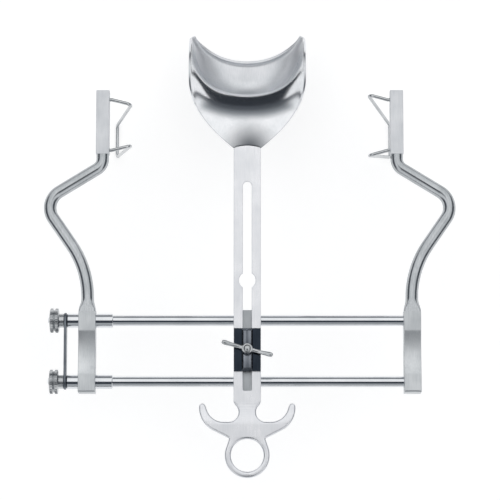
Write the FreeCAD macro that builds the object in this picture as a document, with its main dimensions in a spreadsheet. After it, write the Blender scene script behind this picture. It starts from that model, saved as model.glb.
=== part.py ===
"""Self retaining abdominal retractor with a centre blade, as a parametric FreeCAD document.

Two parallel rods carry a fixed arm, a sliding arm and a saddle. Each arm ends in a bar with a
bent wire side blade. The saddle carries a slotted stem with the centre blade at one end and a
finger ring with two hooks at the other, and a wing nut clamps the stem through a pressure plate.

Millimetres. +Z points up, away from the wound, and +Y from the finger ring to the centre blade.
The origin is the centre of the finger ring.
"""

import FreeCAD, Part
import math
import os

import Sketcher
from FreeCAD import Placement, Rotation, Vector

# Driving sizes: name, value in millimetres (or degrees), what it is
SIZES = (
    ("ring_bore", 22.5, "finger ring, inside diameter"),
    ("ring_wall", 4.4, "finger ring, radial width of its section"),
    ("hook_bend", 14.5, "finger hook, bend radius of its middle line"),
    ("hook_side", 16.5, "finger hook, bend centre from the middle plane"),
    ("hook_rise", 32.4, "finger hook, bend centre above the ring centre"),
    ("hook_root", 7.6, "finger hook, width at the root"),
    ("hook_tip", 4.4, "finger hook, width at the tip"),
    ("waist_width", 12.2, "handle, width of the waist"),
    ("notch_side", 12.6, "handle, notch between hook and ring from the middle plane"),
    ("notch_rise", 11.6, "handle, notch between hook and ring above the ring centre"),
    ("notch_round", 1.0, "handle, rounding of the notch"),
    ("handle_gauge", 4.6, "handle, thickness"),
    ("handle_round", 1.5, "handle, rounding of its edges"),
    ("stem_width", 19.0, "stem, width"),
    ("stem_gauge", 3.0, "stem, thickness"),
    ("stem_foot", 38.4, "stem, lower end above the ring centre"),
    ("stem_head", 215.8, "stem, seam with the centre blade above the ring centre"),
    ("seam_bulge", 1.8, "stem, rise of the rounded end at the seam"),
    ("slot_width", 6.2, "stem slot, width"),
    ("slot_foot", 44.8, "stem slot, lower end above the ring centre"),
    ("slot_round", 0.8, "stem slot, corner rounding of its lower end"),
    ("slot_head", 191.9, "stem slot, upper end above the ring centre"),
    ("keyhole_bore", 11.6, "stem keyhole, diameter"),
    ("keyhole_at", 122.1, "stem keyhole, centre above the ring centre"),
    ("blade_width", 82.0, "centre blade, width over the wall"),
    ("blade_depth", 58.0, "centre blade, drop from the stem to the lip"),
    ("blade_gauge", 2.0, "centre blade, plate thickness"),
    ("blade_run", 6.3, "centre blade, flat run after the seam"),
    ("shoulder_bend", 36.0, "centre blade, radius of the upper bend"),
    ("heel_bend", 16.0, "centre blade, radius of the lower bend"),
    ("lip_reach", 9.9, "centre blade, flat part of the lip"),
    ("rim_rise", 3.3, "centre blade, height of the turned-up rim"),
    ("flare_length", 54.0, "centre blade, length in which it widens"),
    ("horn_reach", 88.6, "centre blade, side corners beyond the seam"),
    ("horn_drop", 42.0, "centre blade, side corners below the stem"),
    ("rods_at", 73.2, "rods, middle line above the ring centre"),
    ("frame_shift", 1.7, "frame, middle plane to the right of the stem"),
    ("rod_bore", 7.5, "rod, diameter"),
    ("rod_spacing", 42.9, "rods, centre to centre"),
    ("thread_bore", 5.0, "threaded ends and clamp stud, diameter"),
    ("running_gap", 0.05, "radial clearance of every running fit"),
    ("block_reach", 113.6, "arm block, centre from the middle plane"),
    ("block_width", 12.0, "arm block, width along the rods"),
    ("block_depth", 13.0, "arm block, thickness"),
    ("block_head", 27.4, "arm block, upper end above the rods' middle line"),
    ("block_foot", 29.4, "arm block, lower end below the rods' middle line"),
    ("block_round", 1.6, "arm block, rounding of the lower end"),
    ("scoop_head", 14.6, "arm block scoop, upper end above the middle line"),
    ("scoop_foot", 16.6, "arm block scoop, lower end below the middle line"),
    ("scoop_sink", 2.1, "arm block scoop, depth"),
    ("bush_bore", 9.9, "sliding arm bush, outside diameter"),
    ("bush_outer", 14.2, "sliding arm bush, length outwards of the block centre"),
    ("bush_inner", 18.0, "sliding arm bush, length inwards of the block centre"),
    ("stop_gap", 0.2, "gap between the open sliding arm and the tie plate"),
    ("tie_gauge", 1.7, "tie plate, thickness"),
    ("tie_width", 11.0, "tie plate, width"),
    ("nut_bore", 16.8, "knurled nut, diameter over the rims"),
    ("nut_length", 6.0, "knurled nut, length of the grip"),
    ("nut_waist", 0.9, "knurled nut, depth of the middle groove"),
    ("nut_dome", 0.6, "knurled nut, rise of the outer face"),
    ("collar_bore", 9.7, "knurled nut, collar diameter"),
    ("collar_length", 3.9, "knurled nut, collar length"),
    ("thread_proud", 0.7, "threaded end, length past the nut"),
    ("arm_bore", 9.0, "arm, rod diameter"),
    ("root_round", 1.2, "arm, corner rounding of the flared root"),
    ("arm_root", 9.5, "arm, length of the flared root on the block"),
    ("knee_side", 103.8, "arm, bend below the end bar from the middle plane"),
    ("knee_rise", 7.9, "arm, bend corner up to the end bar"),
    ("knee_bend", 8.4, "arm, bend radius below the end bar"),
    ("elbow_side", 146.2, "arm, elbow corner from the middle plane"),
    ("elbow_rise", 105.4, "arm, elbow corner above the rods"),
    ("elbow_bend", 13.4, "arm, bend radius at the elbow"),
    ("shin_rise", 58.1, "arm, lower bend corner above the rods"),
    ("shin_bend", 66.0, "arm, lower bend radius"),
    ("bar_width", 9.3, "end bar, width and thickness"),
    ("bar_length", 45.6, "end bar, length"),
    ("bar_foot", 139.4, "end bar, lower end above the rods"),
    ("bar_round", 0.8, "end bar, rounding of the upper end"),
    ("wire_bore", 2.5, "side blade, wire diameter"),
    ("wire_bend", 3.2, "side blade, bend radius of the wire"),
    ("wire_shelf", 15.5, "side blade, corners inwards of the end bar"),
    ("wire_drop", 52.0, "side blade, depth below the rods' level"),
    ("wire_span", 23.6, "side blade, length of the cross wire at the bottom"),
    ("wire_root_span", 36.4, "side blade, spacing of the legs in the end bar"),
    ("wire_level", 21.3, "side blade, middle above the end bar's lower end"),
    ("wire_exit", 1.5, "side blade, straight wire before its first bend"),
    ("wire_shift", 2.1, "side blade, cross wire nearer to the rods than the legs"),
    ("left_corner_span", 29.4, "left side blade, spacing of the upper corners"),
    ("left_tip_side", 96.3, "left side blade, cross wire from the middle plane"),
    ("right_corner_span", 44.0, "right side blade, spacing of the upper corners"),
    ("right_tip_side", 102.0, "right side blade, cross wire from the middle plane"),
    ("saddle_width", 17.5, "saddle, width under the stem"),
    ("saddle_length", 56.4, "saddle, length across both rods"),
    ("saddle_cover", 2.75, "saddle, metal between a rod and the stem"),
    ("saddle_belly", 2.5, "saddle, metal below a rod"),
    ("saddle_bevel", 1.2, "saddle, bevel round its underside"),
    ("tongue_length", 24.0, "saddle tongue, length"),
    ("tongue_gap", 0.15, "saddle tongue, clearance to each side of the slot"),
    ("tongue_rise", 2.5, "saddle tongue, height into the slot"),
    ("plate_length", 30.0, "pressure plate, length"),
    ("plate_width", 18.6, "pressure plate, width"),
    ("plate_gauge", 2.0, "pressure plate, thickness beside the rib"),
    ("rib_foot", 8.0, "pressure plate rib, width at its foot"),
    ("rib_top", 5.4, "pressure plate rib, width at its top"),
    ("rib_rise", 2.0, "pressure plate rib, height"),
    ("rib_bevel", 2.0, "pressure plate rib, bevel at each end"),
    ("hub_bore", 9.0, "wing nut hub, diameter at its foot"),
    ("hub_top", 7.4, "wing nut hub, diameter at its top"),
    ("hub_height", 7.0, "wing nut hub, height"),
    ("wing_span", 36.0, "wing nut, tip to tip"),
    ("wing_gauge", 2.3, "wing nut, thickness of a wing"),
    ("wing_rise", 9.0, "wing nut, height of the wing tips above the hub's foot"),
    ("wing_round", 0.9, "wing nut, rounding of the wing edges"),
    ("wing_turn", -15.0, "wing nut, turn of the wings when clamped, degrees"),
    ("stud_proud", 0.8, "clamp stud, length past the hub"),
)

# Sizes that follow from the driving sizes: name, sheet formula, what it is
DERIVED = (
    ("stem_under", "=-stem_gauge / 2", "underside of the stem"),
    ("stem_over", "=stem_gauge / 2", "top of the stem"),
    ("stem_half", "=stem_width / 2", "half the stem's width"),
    ("seam_top", "=stem_head + seam_bulge", "highest point of the seam"),
    ("slot_half", "=slot_width / 2", "half the slot's width"),
    ("slot_high", "=slot_head - slot_half", "centre of the slot's upper end"),
    ("rod_level", "=stem_under - saddle_cover - rod_bore / 2", "rod axes"),
    ("rod_half", "=rod_spacing / 2", "rod axis from the middle line"),
    ("fit_bore", "=rod_bore + 2 * running_gap", "bore that runs on a rod"),
    ("nut_thread", "=thread_bore + 2 * running_gap", "bore that runs on a thread"),
    ("block_half", "=block_width / 2", "half an arm block's width"),
    ("block_front", "=block_depth / 2", "front of an arm block from the rod axes"),
    ("scoop_middle", "=(scoop_head - scoop_foot) / 2", "deepest point of the scoop"),
    ("scoop_floor", "=block_front - scoop_sink", "level of the deepest point"),
    ("tie_face", "=block_reach + bush_outer + stop_gap", "inner face of the tie plate"),
    ("tie_side", "=frame_shift - tie_face - tie_gauge", "outer face of the tie plate"),
    ("tie_round", "=tie_width / 2", "end radius of the tie plate"),
    ("tie_end", "=rod_half + tie_round", "end of the tie plate"),
    ("bush_length", "=bush_outer + bush_inner", "length of a bush"),
    ("bush_start", "=frame_shift - block_reach - bush_outer", "outer end of a bush"),
    ("rod_length", "=block_reach + block_half + tie_face", "length of a rod to its thread"),
    ("rod_start", "=frame_shift - tie_face", "where a rod's thread starts"),
    ("thread_length", "=tie_gauge + nut_crown + thread_proud", "threaded end of a rod"),
    ("thread_start", "=frame_shift - tie_face - thread_length", "tip of a threaded end"),
    ("right_block_at", "=frame_shift + block_reach", "centre of the fixed arm block"),
    ("left_block_at", "=frame_shift - block_reach", "centre of the sliding arm block"),
    ("upper_rod_at", "=rods_at + rod_half", "upper rod above the ring centre"),
    ("lower_rod_at", "=rods_at - rod_half", "lower rod above the ring centre"),
    ("bar_half", "=bar_width / 2", "half an end bar's width"),
    ("right_bar_at", "=frame_shift + knee_side", "centre of the right end bar"),
    ("left_bar_at", "=frame_shift - knee_side", "centre of the left end bar"),
    ("bar_at", "=rods_at + bar_foot", "lower end of an end bar above the ring centre"),
    ("saddle_under", "=rod_level - rod_bore / 2 - saddle_belly", "underside of the saddle"),
    ("saddle_height", "=stem_under - saddle_under", "height of the saddle"),
    ("saddle_half", "=saddle_length / 2", "half the saddle's length"),
    ("saddle_rods", "=rod_level - saddle_under", "rod axes above the saddle's underside"),
    ("tongue_half", "=slot_width / 2 - tongue_gap", "half the tongue's width"),
    ("tongue_end", "=tongue_length / 2", "half the tongue's length"),
    ("plate_top", "=stem_over + plate_gauge + rib_rise", "top of the rib"),
    ("plate_half", "=plate_width / 2", "half the pressure plate's width"),
    ("plate_end", "=plate_length / 2", "half the pressure plate's length"),
    ("rib_half", "=rib_foot / 2", "half the rib's foot"),
    ("rib_top_half", "=rib_top / 2", "half the rib's top"),
    ("rib_over", "=plate_gauge + rib_rise", "top of the rib above the plate's underside"),
    ("rib_end", "=plate_end - rib_bevel", "where the bevel of the rib starts"),
    ("stud_top", "=plate_top + hub_height + stud_proud", "top of the clamp stud"),
    ("stud_length", "=stud_top - saddle_under", "length of the clamp stud"),
    ("hub_foot_half", "=hub_bore / 2", "radius of the hub's foot"),
    ("hub_top_half", "=hub_top / 2", "radius of the hub's top"),
    ("nut_grip_half", "=nut_bore / 2", "radius of the knurled rims"),
    ("collar_half", "=collar_bore / 2", "radius of the collar"),
    ("nut_end", "=collar_length + nut_length", "outer face of the knurled nut"),
    ("nut_middle", "=collar_length + nut_length / 2", "middle of the grip"),
    ("nut_groove", "=nut_grip_half - nut_waist", "radius in the middle groove"),
    ("nut_crown", "=nut_end + nut_dome", "top of the knurled nut's dome"),
    ("nut_dome_at", "=nut_end + nut_dome * 0.7", "point on the dome, along the nut"),
    ("nut_dome_half", "=nut_grip_half * 0.6", "point on the dome, radius"),
    ("nut_thread_half", "=nut_thread / 2", "radius of the nut's bore"),
    ("wing_half", "=wing_span / 2", "half the wing nut's span"),
    ("wing_root", "=hub_top / 4", "where a wing starts inside the hub"),
    ("wing_low", "=hub_height * 0.12", "lower edge of a wing at the hub"),
    ("wing_high", "=hub_height * 0.9", "upper edge of a wing at the hub"),
    ("wing_under_at", "=wing_half * 0.55", "point on a wing's lower edge, outwards"),
    ("wing_under", "=wing_rise * 0.16", "point on a wing's lower edge, height"),
    ("wing_corner_at", "=wing_half * 0.93", "lower corner of a wing's tip, outwards"),
    ("wing_corner", "=wing_rise * 0.42", "lower corner of a wing's tip, height"),
    ("wing_tip", "=wing_rise * 0.75", "outermost point of a wing, height"),
    ("wing_peak_at", "=wing_half * 0.84", "peak of a wing, outwards"),
    ("wing_back_at", "=wing_half * 0.5", "point on a wing's upper edge, outwards"),
    ("wing_back", "=wing_rise * 0.62", "point on a wing's upper edge, height"),
    ("arm_end", "=block_head + arm_root", "where an arm's flared root starts"),
    ("knee_level", "=bar_foot - knee_rise", "arm, bend corner above the rods"),
    ("bore_low", "=wire_level - wire_root_span / 2", "lower wire in the end bar"),
    ("bore_high", "=wire_level + wire_root_span / 2", "upper wire in the end bar"),
)

# Points across and along the centre blade's surface
ACROSS = 15
ALONG = 14
# The blade's rim beyond its length of 1, its rows of points, and the step for its directions
RIM_SHARE = 0.05
RIM_ROWS = 4
STEP = 1e-3
# Most of a straight run that a bend may take up
BEND_SHARE = 0.98
# Edges closer than this to a plane or a wire lie on it
TOUCH = 1e-3
# Share of a half circle that the blade's cross-section takes
TROUGH_SHARE = 0.97
# Flat land that keeps a round section's four straight sides
ROUND_LAND = 0.15
# Angle of a hook's tip around its bend centre, and the rounding of its corners by its width
HOOK_TIP = 8.0
TIP_SHARE = 0.48

document = FreeCAD.newDocument("retractor")
sheet = document.addObject("Spreadsheet::Sheet", "Sizes")
pieces = {}


def fill_sheet():
    """Write the driving and the derived sizes into the sheet, one named cell each."""
    rows = [(name, str(number), note) for name, number, note in SIZES]
    for row, (name, content, note) in enumerate(rows + list(DERIVED), start=1):
        sheet.set(f"A{row}", note)
        sheet.set(f"B{row}", content)
        sheet.setAlias(f"B{row}", name)
    document.recompute()


def value(name):
    """A size from the sheet; a leading minus turns its sign, and a plain number stays."""
    if isinstance(name, (int, float)):
        return float(name)
    if name.startswith("-"):
        return -value(name[1:])
    return float(sheet.get(name))


def linked(name):
    """The expression that reads a size from the sheet."""
    if isinstance(name, (int, float)):
        return str(name)
    if name.startswith("-"):
        return f"-Sizes.{name[1:]}"
    return f"Sizes.{name}"


def bind(item, **links):
    """Bind properties of an object to sizes; two underscores stand for a dot."""
    for name, source in links.items():
        item.setExpression(name.replace("__", "."), linked(source))


def place(item, along=0, up=0, level=0):
    """Bind an object's place to sizes."""
    bind(item, Placement__Base__x=along, Placement__Base__y=up, Placement__Base__z=level)


def keep(item, name):
    """Label an object with the name of its piece and keep it for the export."""
    item.Label = name
    pieces[name] = item
    return item


def new_body(name):
    """A PartDesign body for one piece."""
    return keep(document.addObject("PartDesign::Body", name), name)


def new_sketch(body, name, role="XY_Plane", level=0):
    """A sketch on one of the body's own origin planes, moved along its normal by a size."""
    plane = next(item for item in body.Origin.OriginFeatures if item.Role == role)
    sketch = body.newObject("Sketcher::SketchObject", name)
    sketch.AttachmentSupport = [(plane, "")]
    sketch.MapMode = "FlatFace"
    bind(sketch, AttachmentOffset__Base__z=level)
    return sketch


def pin_point(sketch, index, end, across, up):
    """Bind the two coordinates of a sketch point to sizes."""
    for kind, source in (("DistanceX", across), ("DistanceY", up)):
        number = sketch.addConstraint(
            Sketcher.Constraint(kind, -1, 1, index, end, value(source))
        )
        if isinstance(source, str):
            sketch.setExpression(f"Constraints[{number}]", linked(source))


def add_circle(sketch, diameter, across=0, up=0):
    """A circle whose centre and diameter are bound to sizes."""
    centre = Vector(value(across), value(up), 0)
    circle = Part.Circle(centre, Vector(0, 0, 1), value(diameter) / 2)
    index = sketch.addGeometry(circle, False)
    pin_point(sketch, index, 3, across, up)
    number = sketch.addConstraint(Sketcher.Constraint("Diameter", index, value(diameter)))
    sketch.setExpression(f"Constraints[{number}]", linked(diameter))


def add_outline(sketch, corners, arcs=None):
    """A closed outline through corners, each a pair of sizes.

    arcs gives, for a side numbered by its first corner, the point that the arc passes through.
    """
    arcs = arcs or {}
    points = [Vector(value(across), value(up), 0) for across, up in corners]
    first = sketch.GeometryCount
    for number, start in enumerate(points):
        finish = points[(number + 1) % len(points)]
        if number in arcs:
            across, up = arcs[number]
            side = Part.Arc(start, Vector(value(across), value(up), 0), finish)
        else:
            side = Part.LineSegment(start, finish)
        sketch.addGeometry(side, False)
    for number, (across, up) in enumerate(corners):
        side = first + number
        before = first + (number - 1) % len(corners)
        end = nearest(sketch, side, points[number])
        end_before = nearest(sketch, before, points[number])
        sketch.addConstraint(Sketcher.Constraint("Coincident", before, end_before, side, end))
        pin_point(sketch, side, end, across, up)
    for number, (across, up) in arcs.items():
        through = Part.Point(Vector(value(across), value(up), 0))
        index = sketch.addGeometry(through, True)
        pin_point(sketch, index, 1, across, up)
        sketch.addConstraint(
            Sketcher.Constraint("PointOnObject", index, 1, first + number)
        )


def nearest(sketch, side, corner):
    """Which end of a side lies on a corner: 1 for its first, 2 for its second."""
    return min((1, 2), key=lambda end: sketch.getPoint(side, end).distanceToPoint(corner))


def feature_of(body, kind, name, profile):
    """A sketch based feature of a body."""
    feature = body.newObject(f"PartDesign::{kind}", name)
    feature.Profile = profile
    return feature


def pad(body, sketch, name, length, midplane=False):
    """A pad of a sketch, as long as a size."""
    feature = feature_of(body, "Pad", name, sketch)
    feature.Midplane = midplane
    bind(feature, Length=length)
    document.recompute()
    return feature


def cut_through(body, sketch, name):
    """A pocket of a sketch through the whole body, both ways."""
    before = body.Shape.Volume
    feature = feature_of(body, "Pocket", name, sketch)
    feature.Type = "ThroughAll"
    feature.Midplane = True
    document.recompute()
    if body.Shape.Volume > before - 1e-6:
        raise RuntimeError(f"{name} cuts nothing")


def soften(body, kind, name, amount, test):
    """A fillet or chamfer on the edges of a body that pass a test."""
    base = body.Tip
    chosen = [f"Edge{i}" for i, edge in enumerate(base.Shape.Edges, 1) if test(edge)]
    if not chosen:
        raise RuntimeError(f"{name} finds no edge")
    feature = body.newObject(f"PartDesign::{kind}", name)
    feature.Base = (base, chosen)
    bind(feature, **{"Radius" if kind == "Fillet" else "Size": amount})
    document.recompute()


def on_plane(edge, axis, place_at):
    """Whether every point of an edge has the given coordinate."""
    return all(
        abs(getattr(point, axis) - place_at) < TOUCH
        for point in edge.discretize(Number=5)
    )


def stands_on(edge, spots):
    """Whether an upright edge stands on one of some points of the XY plane."""
    foot = Vector(edge.CenterOfMass.x, edge.CenterOfMass.y, 0)
    return any((foot - spot).Length < TOUCH for spot in spots)


def solid_piece(name, shape):
    """Keep a shape that no sketch or primitive fits as a feature of its own."""
    item = document.addObject("Part::Feature", name)
    item.Shape = shape.removeSplitter() if shape.ShapeType == "Solid" else shape
    return keep(item, name)


def arm_block(name, along, bore):
    """One arm block: a bar across both rods with a hollow scoop in its front between them."""
    body = new_body(name)
    side = new_sketch(body, f"{name}_side", "YZ_Plane")
    corners = [
        ("-block_foot", "-block_front"),
        ("block_head", "-block_front"),
        ("block_head", "block_front"),
        ("scoop_head", "block_front"),
        ("-scoop_foot", "block_front"),
        ("-block_foot", "block_front"),
    ]
    add_outline(side, corners, {3: ("scoop_middle", "scoop_floor")})
    pad(body, side, f"{name}_pad", "block_width", midplane=True)
    bores = new_sketch(body, f"{name}_bores", "YZ_Plane")
    add_circle(bores, bore, "rod_half")
    add_circle(bores, bore, "-rod_half")
    cut_through(body, bores, f"{name}_bore_cut")
    foot = -value("block_foot")
    soften(
        body,
        "Fillet",
        f"{name}_foot_round",
        "block_round",
        lambda edge: on_plane(edge, "y", foot) and not on_plane(edge, "z", edge.BoundBox.ZMin),
    )
    place(body, along, "rods_at", "rod_level")


def end_bar(name, along):
    """One end bar, with the two cross bores in which the wire is brazed."""
    body = new_body(name)
    face = new_sketch(body, f"{name}_face")
    corners = [
        ("-bar_half", 0),
        ("bar_half", 0),
        ("bar_half", "bar_length"),
        ("-bar_half", "bar_length"),
    ]
    add_outline(face, corners)
    pad(body, face, f"{name}_pad", "bar_width", midplane=True)
    bores = new_sketch(body, f"{name}_bores", "YZ_Plane")
    add_circle(bores, "wire_bore", "bore_low")
    add_circle(bores, "wire_bore", "bore_high")
    cut_through(body, bores, f"{name}_bore_cut")
    soften(
        body,
        "Fillet",
        f"{name}_top_round",
        "bar_round",
        lambda edge: on_plane(edge, "y", value("bar_length")),
    )
    place(body, along, "bar_at", "rod_level")


def cylinder(name, diameter, length):
    """A cylinder primitive along X."""
    item = document.addObject("Part::Cylinder", name)
    item.Placement = Placement(Vector(), Rotation(Vector(0, 1, 0), 90))
    item.setExpression("Radius", f"{linked(diameter)} / 2")
    bind(item, Height=length)
    return item


def joined(kind, name, base, tool):
    """A fusion or a cut of two primitives."""
    item = document.addObject(f"Part::{kind}", name)
    item.Base = base
    item.Tool = tool
    return keep(item, name)


def rod(name, up):
    """A rod, stepped down to its threaded end at the tie plate."""
    shaft = cylinder(f"{name}_shaft", "rod_bore", "rod_length")
    place(shaft, "rod_start", up, "rod_level")
    thread = cylinder(f"{name}_thread", "thread_bore", "thread_length")
    place(thread, "thread_start", up, "rod_level")
    joined("Fuse", name, shaft, thread)


def bush(name, up):
    """A plain bush that carries the sliding arm on a rod."""
    outside = cylinder(f"{name}_outside", "bush_bore", "bush_length")
    place(outside, "bush_start", up, "rod_level")
    inside = cylinder(f"{name}_inside", "fit_bore", "bush_length")
    place(inside, "bush_start", up, "rod_level")
    joined("Cut", name, outside, inside)


def tie_plate(name):
    """The plate that ties the threaded ends of both rods."""
    body = new_body(name)
    face = new_sketch(body, f"{name}_face", "YZ_Plane")
    corners = [
        ("-rod_half", "-tie_round"),
        ("rod_half", "-tie_round"),
        ("rod_half", "tie_round"),
        ("-rod_half", "tie_round"),
    ]
    add_outline(face, corners, {1: ("tie_end", 0), 3: ("-tie_end", 0)})
    pad(body, face, f"{name}_pad", "tie_gauge")
    bores = new_sketch(body, f"{name}_bores", "YZ_Plane")
    add_circle(bores, "nut_thread", "rod_half")
    add_circle(bores, "nut_thread", "-rod_half")
    cut_through(body, bores, f"{name}_bore_cut")
    place(body, "tie_side", "rods_at", "rod_level")


def knurled_nut(name, up):
    """A round nut with a collar, two rims with a groove between them and a domed face."""
    body = new_body(name)
    half = new_sketch(body, f"{name}_half")
    corners = [
        (0, "nut_thread_half"),
        (0, "collar_half"),
        ("collar_length", "collar_half"),
        ("collar_length", "nut_grip_half"),
        ("nut_end", "nut_grip_half"),
        ("nut_crown", "nut_thread_half"),
    ]
    arcs = {3: ("nut_middle", "nut_groove"), 4: ("nut_dome_at", "nut_dome_half")}
    add_outline(half, corners, arcs)
    turned = feature_of(body, "Revolution", f"{name}_turned", half)
    turned.ReferenceAxis = (half, ["H_Axis"])
    turned.Angle = 360
    document.recompute()
    body.Placement = Placement(Vector(), Rotation(Vector(0, 0, 1), 180))
    place(body, "tie_side", up, "rod_level")


def saddle(name):
    """The saddle: it runs on both rods and its tongue guides the slotted stem."""
    body = new_body(name)
    side = new_sketch(body, f"{name}_side", "YZ_Plane")
    corners = [
        ("-saddle_half", 0),
        ("saddle_half", 0),
        ("saddle_half", "saddle_height"),
        ("-saddle_half", "saddle_height"),
    ]
    add_outline(side, corners)
    pad(body, side, f"{name}_pad", "saddle_width", midplane=True)
    soften(
        body,
        "Chamfer",
        f"{name}_foot_bevel",
        "saddle_bevel",
        lambda edge: on_plane(edge, "z", 0.0),
    )
    tongue = new_sketch(body, f"{name}_tongue", level="saddle_height")
    corners = [
        ("-tongue_half", "-tongue_end"),
        ("tongue_half", "-tongue_end"),
        ("tongue_half", "tongue_end"),
        ("-tongue_half", "tongue_end"),
    ]
    add_outline(tongue, corners)
    pad(body, tongue, f"{name}_tongue_pad", "tongue_rise")
    bores = new_sketch(body, f"{name}_bores", "YZ_Plane")
    add_circle(bores, "fit_bore", "rod_half", "saddle_rods")
    add_circle(bores, "fit_bore", "-rod_half", "saddle_rods")
    cut_through(body, bores, f"{name}_bore_cut")
    hole = new_sketch(body, f"{name}_stud_hole")
    add_circle(hole, "thread_bore")
    cut_through(body, hole, f"{name}_stud_cut")
    place(body, 0, "rods_at", "saddle_under")


def clamp_stud(name):
    """The threaded stud that stands in the saddle, under the wing nut."""
    item = document.addObject("Part::Cylinder", name)
    item.setExpression("Radius", "Sizes.thread_bore / 2")
    bind(item, Height="stud_length")
    place(item, 0, "rods_at", "saddle_under")
    keep(item, name)


def pressure_plate(name):
    """The polished plate that the wing nut presses on the stem, with its bevelled rib."""
    body = new_body(name)
    base = new_sketch(body, f"{name}_base")
    corners = [
        ("-plate_half", "-plate_end"),
        ("plate_half", "-plate_end"),
        ("plate_half", "plate_end"),
        ("-plate_half", "plate_end"),
    ]
    add_outline(base, corners)
    pad(body, base, f"{name}_pad", "plate_gauge")
    foot = new_sketch(body, f"{name}_rib_foot", level="plate_gauge")
    corners = [
        ("-rib_half", "-plate_end"),
        ("rib_half", "-plate_end"),
        ("rib_half", "plate_end"),
        ("-rib_half", "plate_end"),
    ]
    add_outline(foot, corners)
    top = new_sketch(body, f"{name}_rib_top", level="rib_over")
    corners = [
        ("-rib_top_half", "-rib_end"),
        ("rib_top_half", "-rib_end"),
        ("rib_top_half", "rib_end"),
        ("-rib_top_half", "rib_end"),
    ]
    add_outline(top, corners)
    rib = feature_of(body, "AdditiveLoft", f"{name}_rib", foot)
    rib.Sections = [top]
    rib.Ruled = True
    document.recompute()
    hole = new_sketch(body, f"{name}_hole")
    add_circle(hole, "nut_thread")
    cut_through(body, hole, f"{name}_hole_cut")
    place(body, 0, "rods_at", "stem_over")


def wing_nut(name):
    """The wing nut: a tapered hub with two rounded wings."""
    body = new_body(name)
    half = new_sketch(body, f"{name}_hub_half", "XZ_Plane")
    corners = [
        (0, 0),
        ("hub_foot_half", 0),
        ("hub_top_half", "hub_height"),
        (0, "hub_height"),
    ]
    add_outline(half, corners)
    hub = feature_of(body, "Revolution", f"{name}_hub", half)
    hub.ReferenceAxis = (half, ["V_Axis"])
    hub.Angle = 360
    document.recompute()
    for side, sign in (("right", ""), ("left", "-")):
        wing = new_sketch(body, f"{name}_{side}_wing", "XZ_Plane")
        corners = [
            (f"{sign}wing_root", "wing_low"),
            (f"{sign}wing_corner_at", "wing_corner"),
            (f"{sign}wing_peak_at", "wing_rise"),
            (f"{sign}wing_root", "wing_high"),
        ]
        arcs = {
            0: (f"{sign}wing_under_at", "wing_under"),
            1: (f"{sign}wing_half", "wing_tip"),
            2: (f"{sign}wing_back_at", "wing_back"),
        }
        add_outline(wing, corners, arcs)
        pad(body, wing, f"{name}_{side}_pad", "wing_gauge", midplane=True)
    hole = new_sketch(body, f"{name}_thread")
    add_circle(hole, "nut_thread")
    cut_through(body, hole, f"{name}_thread_cut")
    reach = value("hub_foot_half")
    soften(
        body,
        "Fillet",
        f"{name}_wing_round",
        "wing_round",
        lambda edge: abs(edge.CenterOfMass.x) > reach,
    )
    body.Placement = Placement(Vector(), Rotation(Vector(0, 0, 1), value("wing_turn")))
    place(body, 0, "rods_at", "plate_top")


def blade_stem(name):
    """The slotted stem, with a keyhole that the clamp can be lifted through."""
    body = new_body(name)
    face = new_sketch(body, f"{name}_face")
    corners = [
        ("-stem_half", "stem_foot"),
        ("stem_half", "stem_foot"),
        ("stem_half", "stem_head"),
        ("-stem_half", "stem_head"),
    ]
    add_outline(face, corners, {2: (0, "seam_top")})
    pad(body, face, f"{name}_pad", "stem_gauge", midplane=True)
    slot = new_sketch(body, f"{name}_slot")
    corners = [
        ("-slot_half", "slot_foot"),
        ("slot_half", "slot_foot"),
        ("slot_half", "slot_high"),
        ("-slot_half", "slot_high"),
    ]
    add_outline(slot, corners, {2: (0, "slot_head")})
    cut_through(body, slot, f"{name}_slot_cut")
    half, foot = value("slot_half"), value("slot_foot")
    corners = [Vector(side * half, foot, 0) for side in (1, -1)]
    soften(
        body,
        "Fillet",
        f"{name}_slot_corners",
        "slot_round",
        lambda edge: stands_on(edge, corners),
    )
    keyhole = new_sketch(body, f"{name}_keyhole")
    add_circle(keyhole, "keyhole_bore", 0, "keyhole_at")
    cut_through(body, keyhole, f"{name}_keyhole_cut")


def bent_path(points, bends):
    """A wire of straight runs joined by tangent arcs; bends holds a radius for each inner point."""
    edges = []
    start = points[0]
    for corner, after, radius in zip(points[1:-1], points[2:], bends):
        into = (corner - start).normalize()
        out = (after - corner).normalize()
        turn = into.getAngle(out)
        reach = radius * math.tan(turn / 2)
        first = corner - into * reach
        last = corner + out * reach
        inward = (out - into).normalize()
        middle = corner + inward * (radius / math.cos(turn / 2) - radius)
        edges.append(Part.LineSegment(start, first).toShape())
        edges.append(Part.Arc(first, middle, last).toShape())
        start = last
    edges.append(Part.LineSegment(start, points[-1]).toShape())
    return Part.Wire(edges)


def bent_rod(points, bends, diameter):
    """A round rod bent along a path."""
    path = bent_path(points, bends)
    section = Part.Circle(points[0], points[1] - points[0], diameter / 2).toShape()
    return path.makePipeShell([Part.Wire(section)], True, False)


def widest_bend(before, corner, after):
    """The largest bend radius that the run after a corner has room for."""
    turn = (corner - before).getAngle(after - corner)
    return BEND_SHARE * (after - corner).Length / math.tan(turn / 2)


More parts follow.
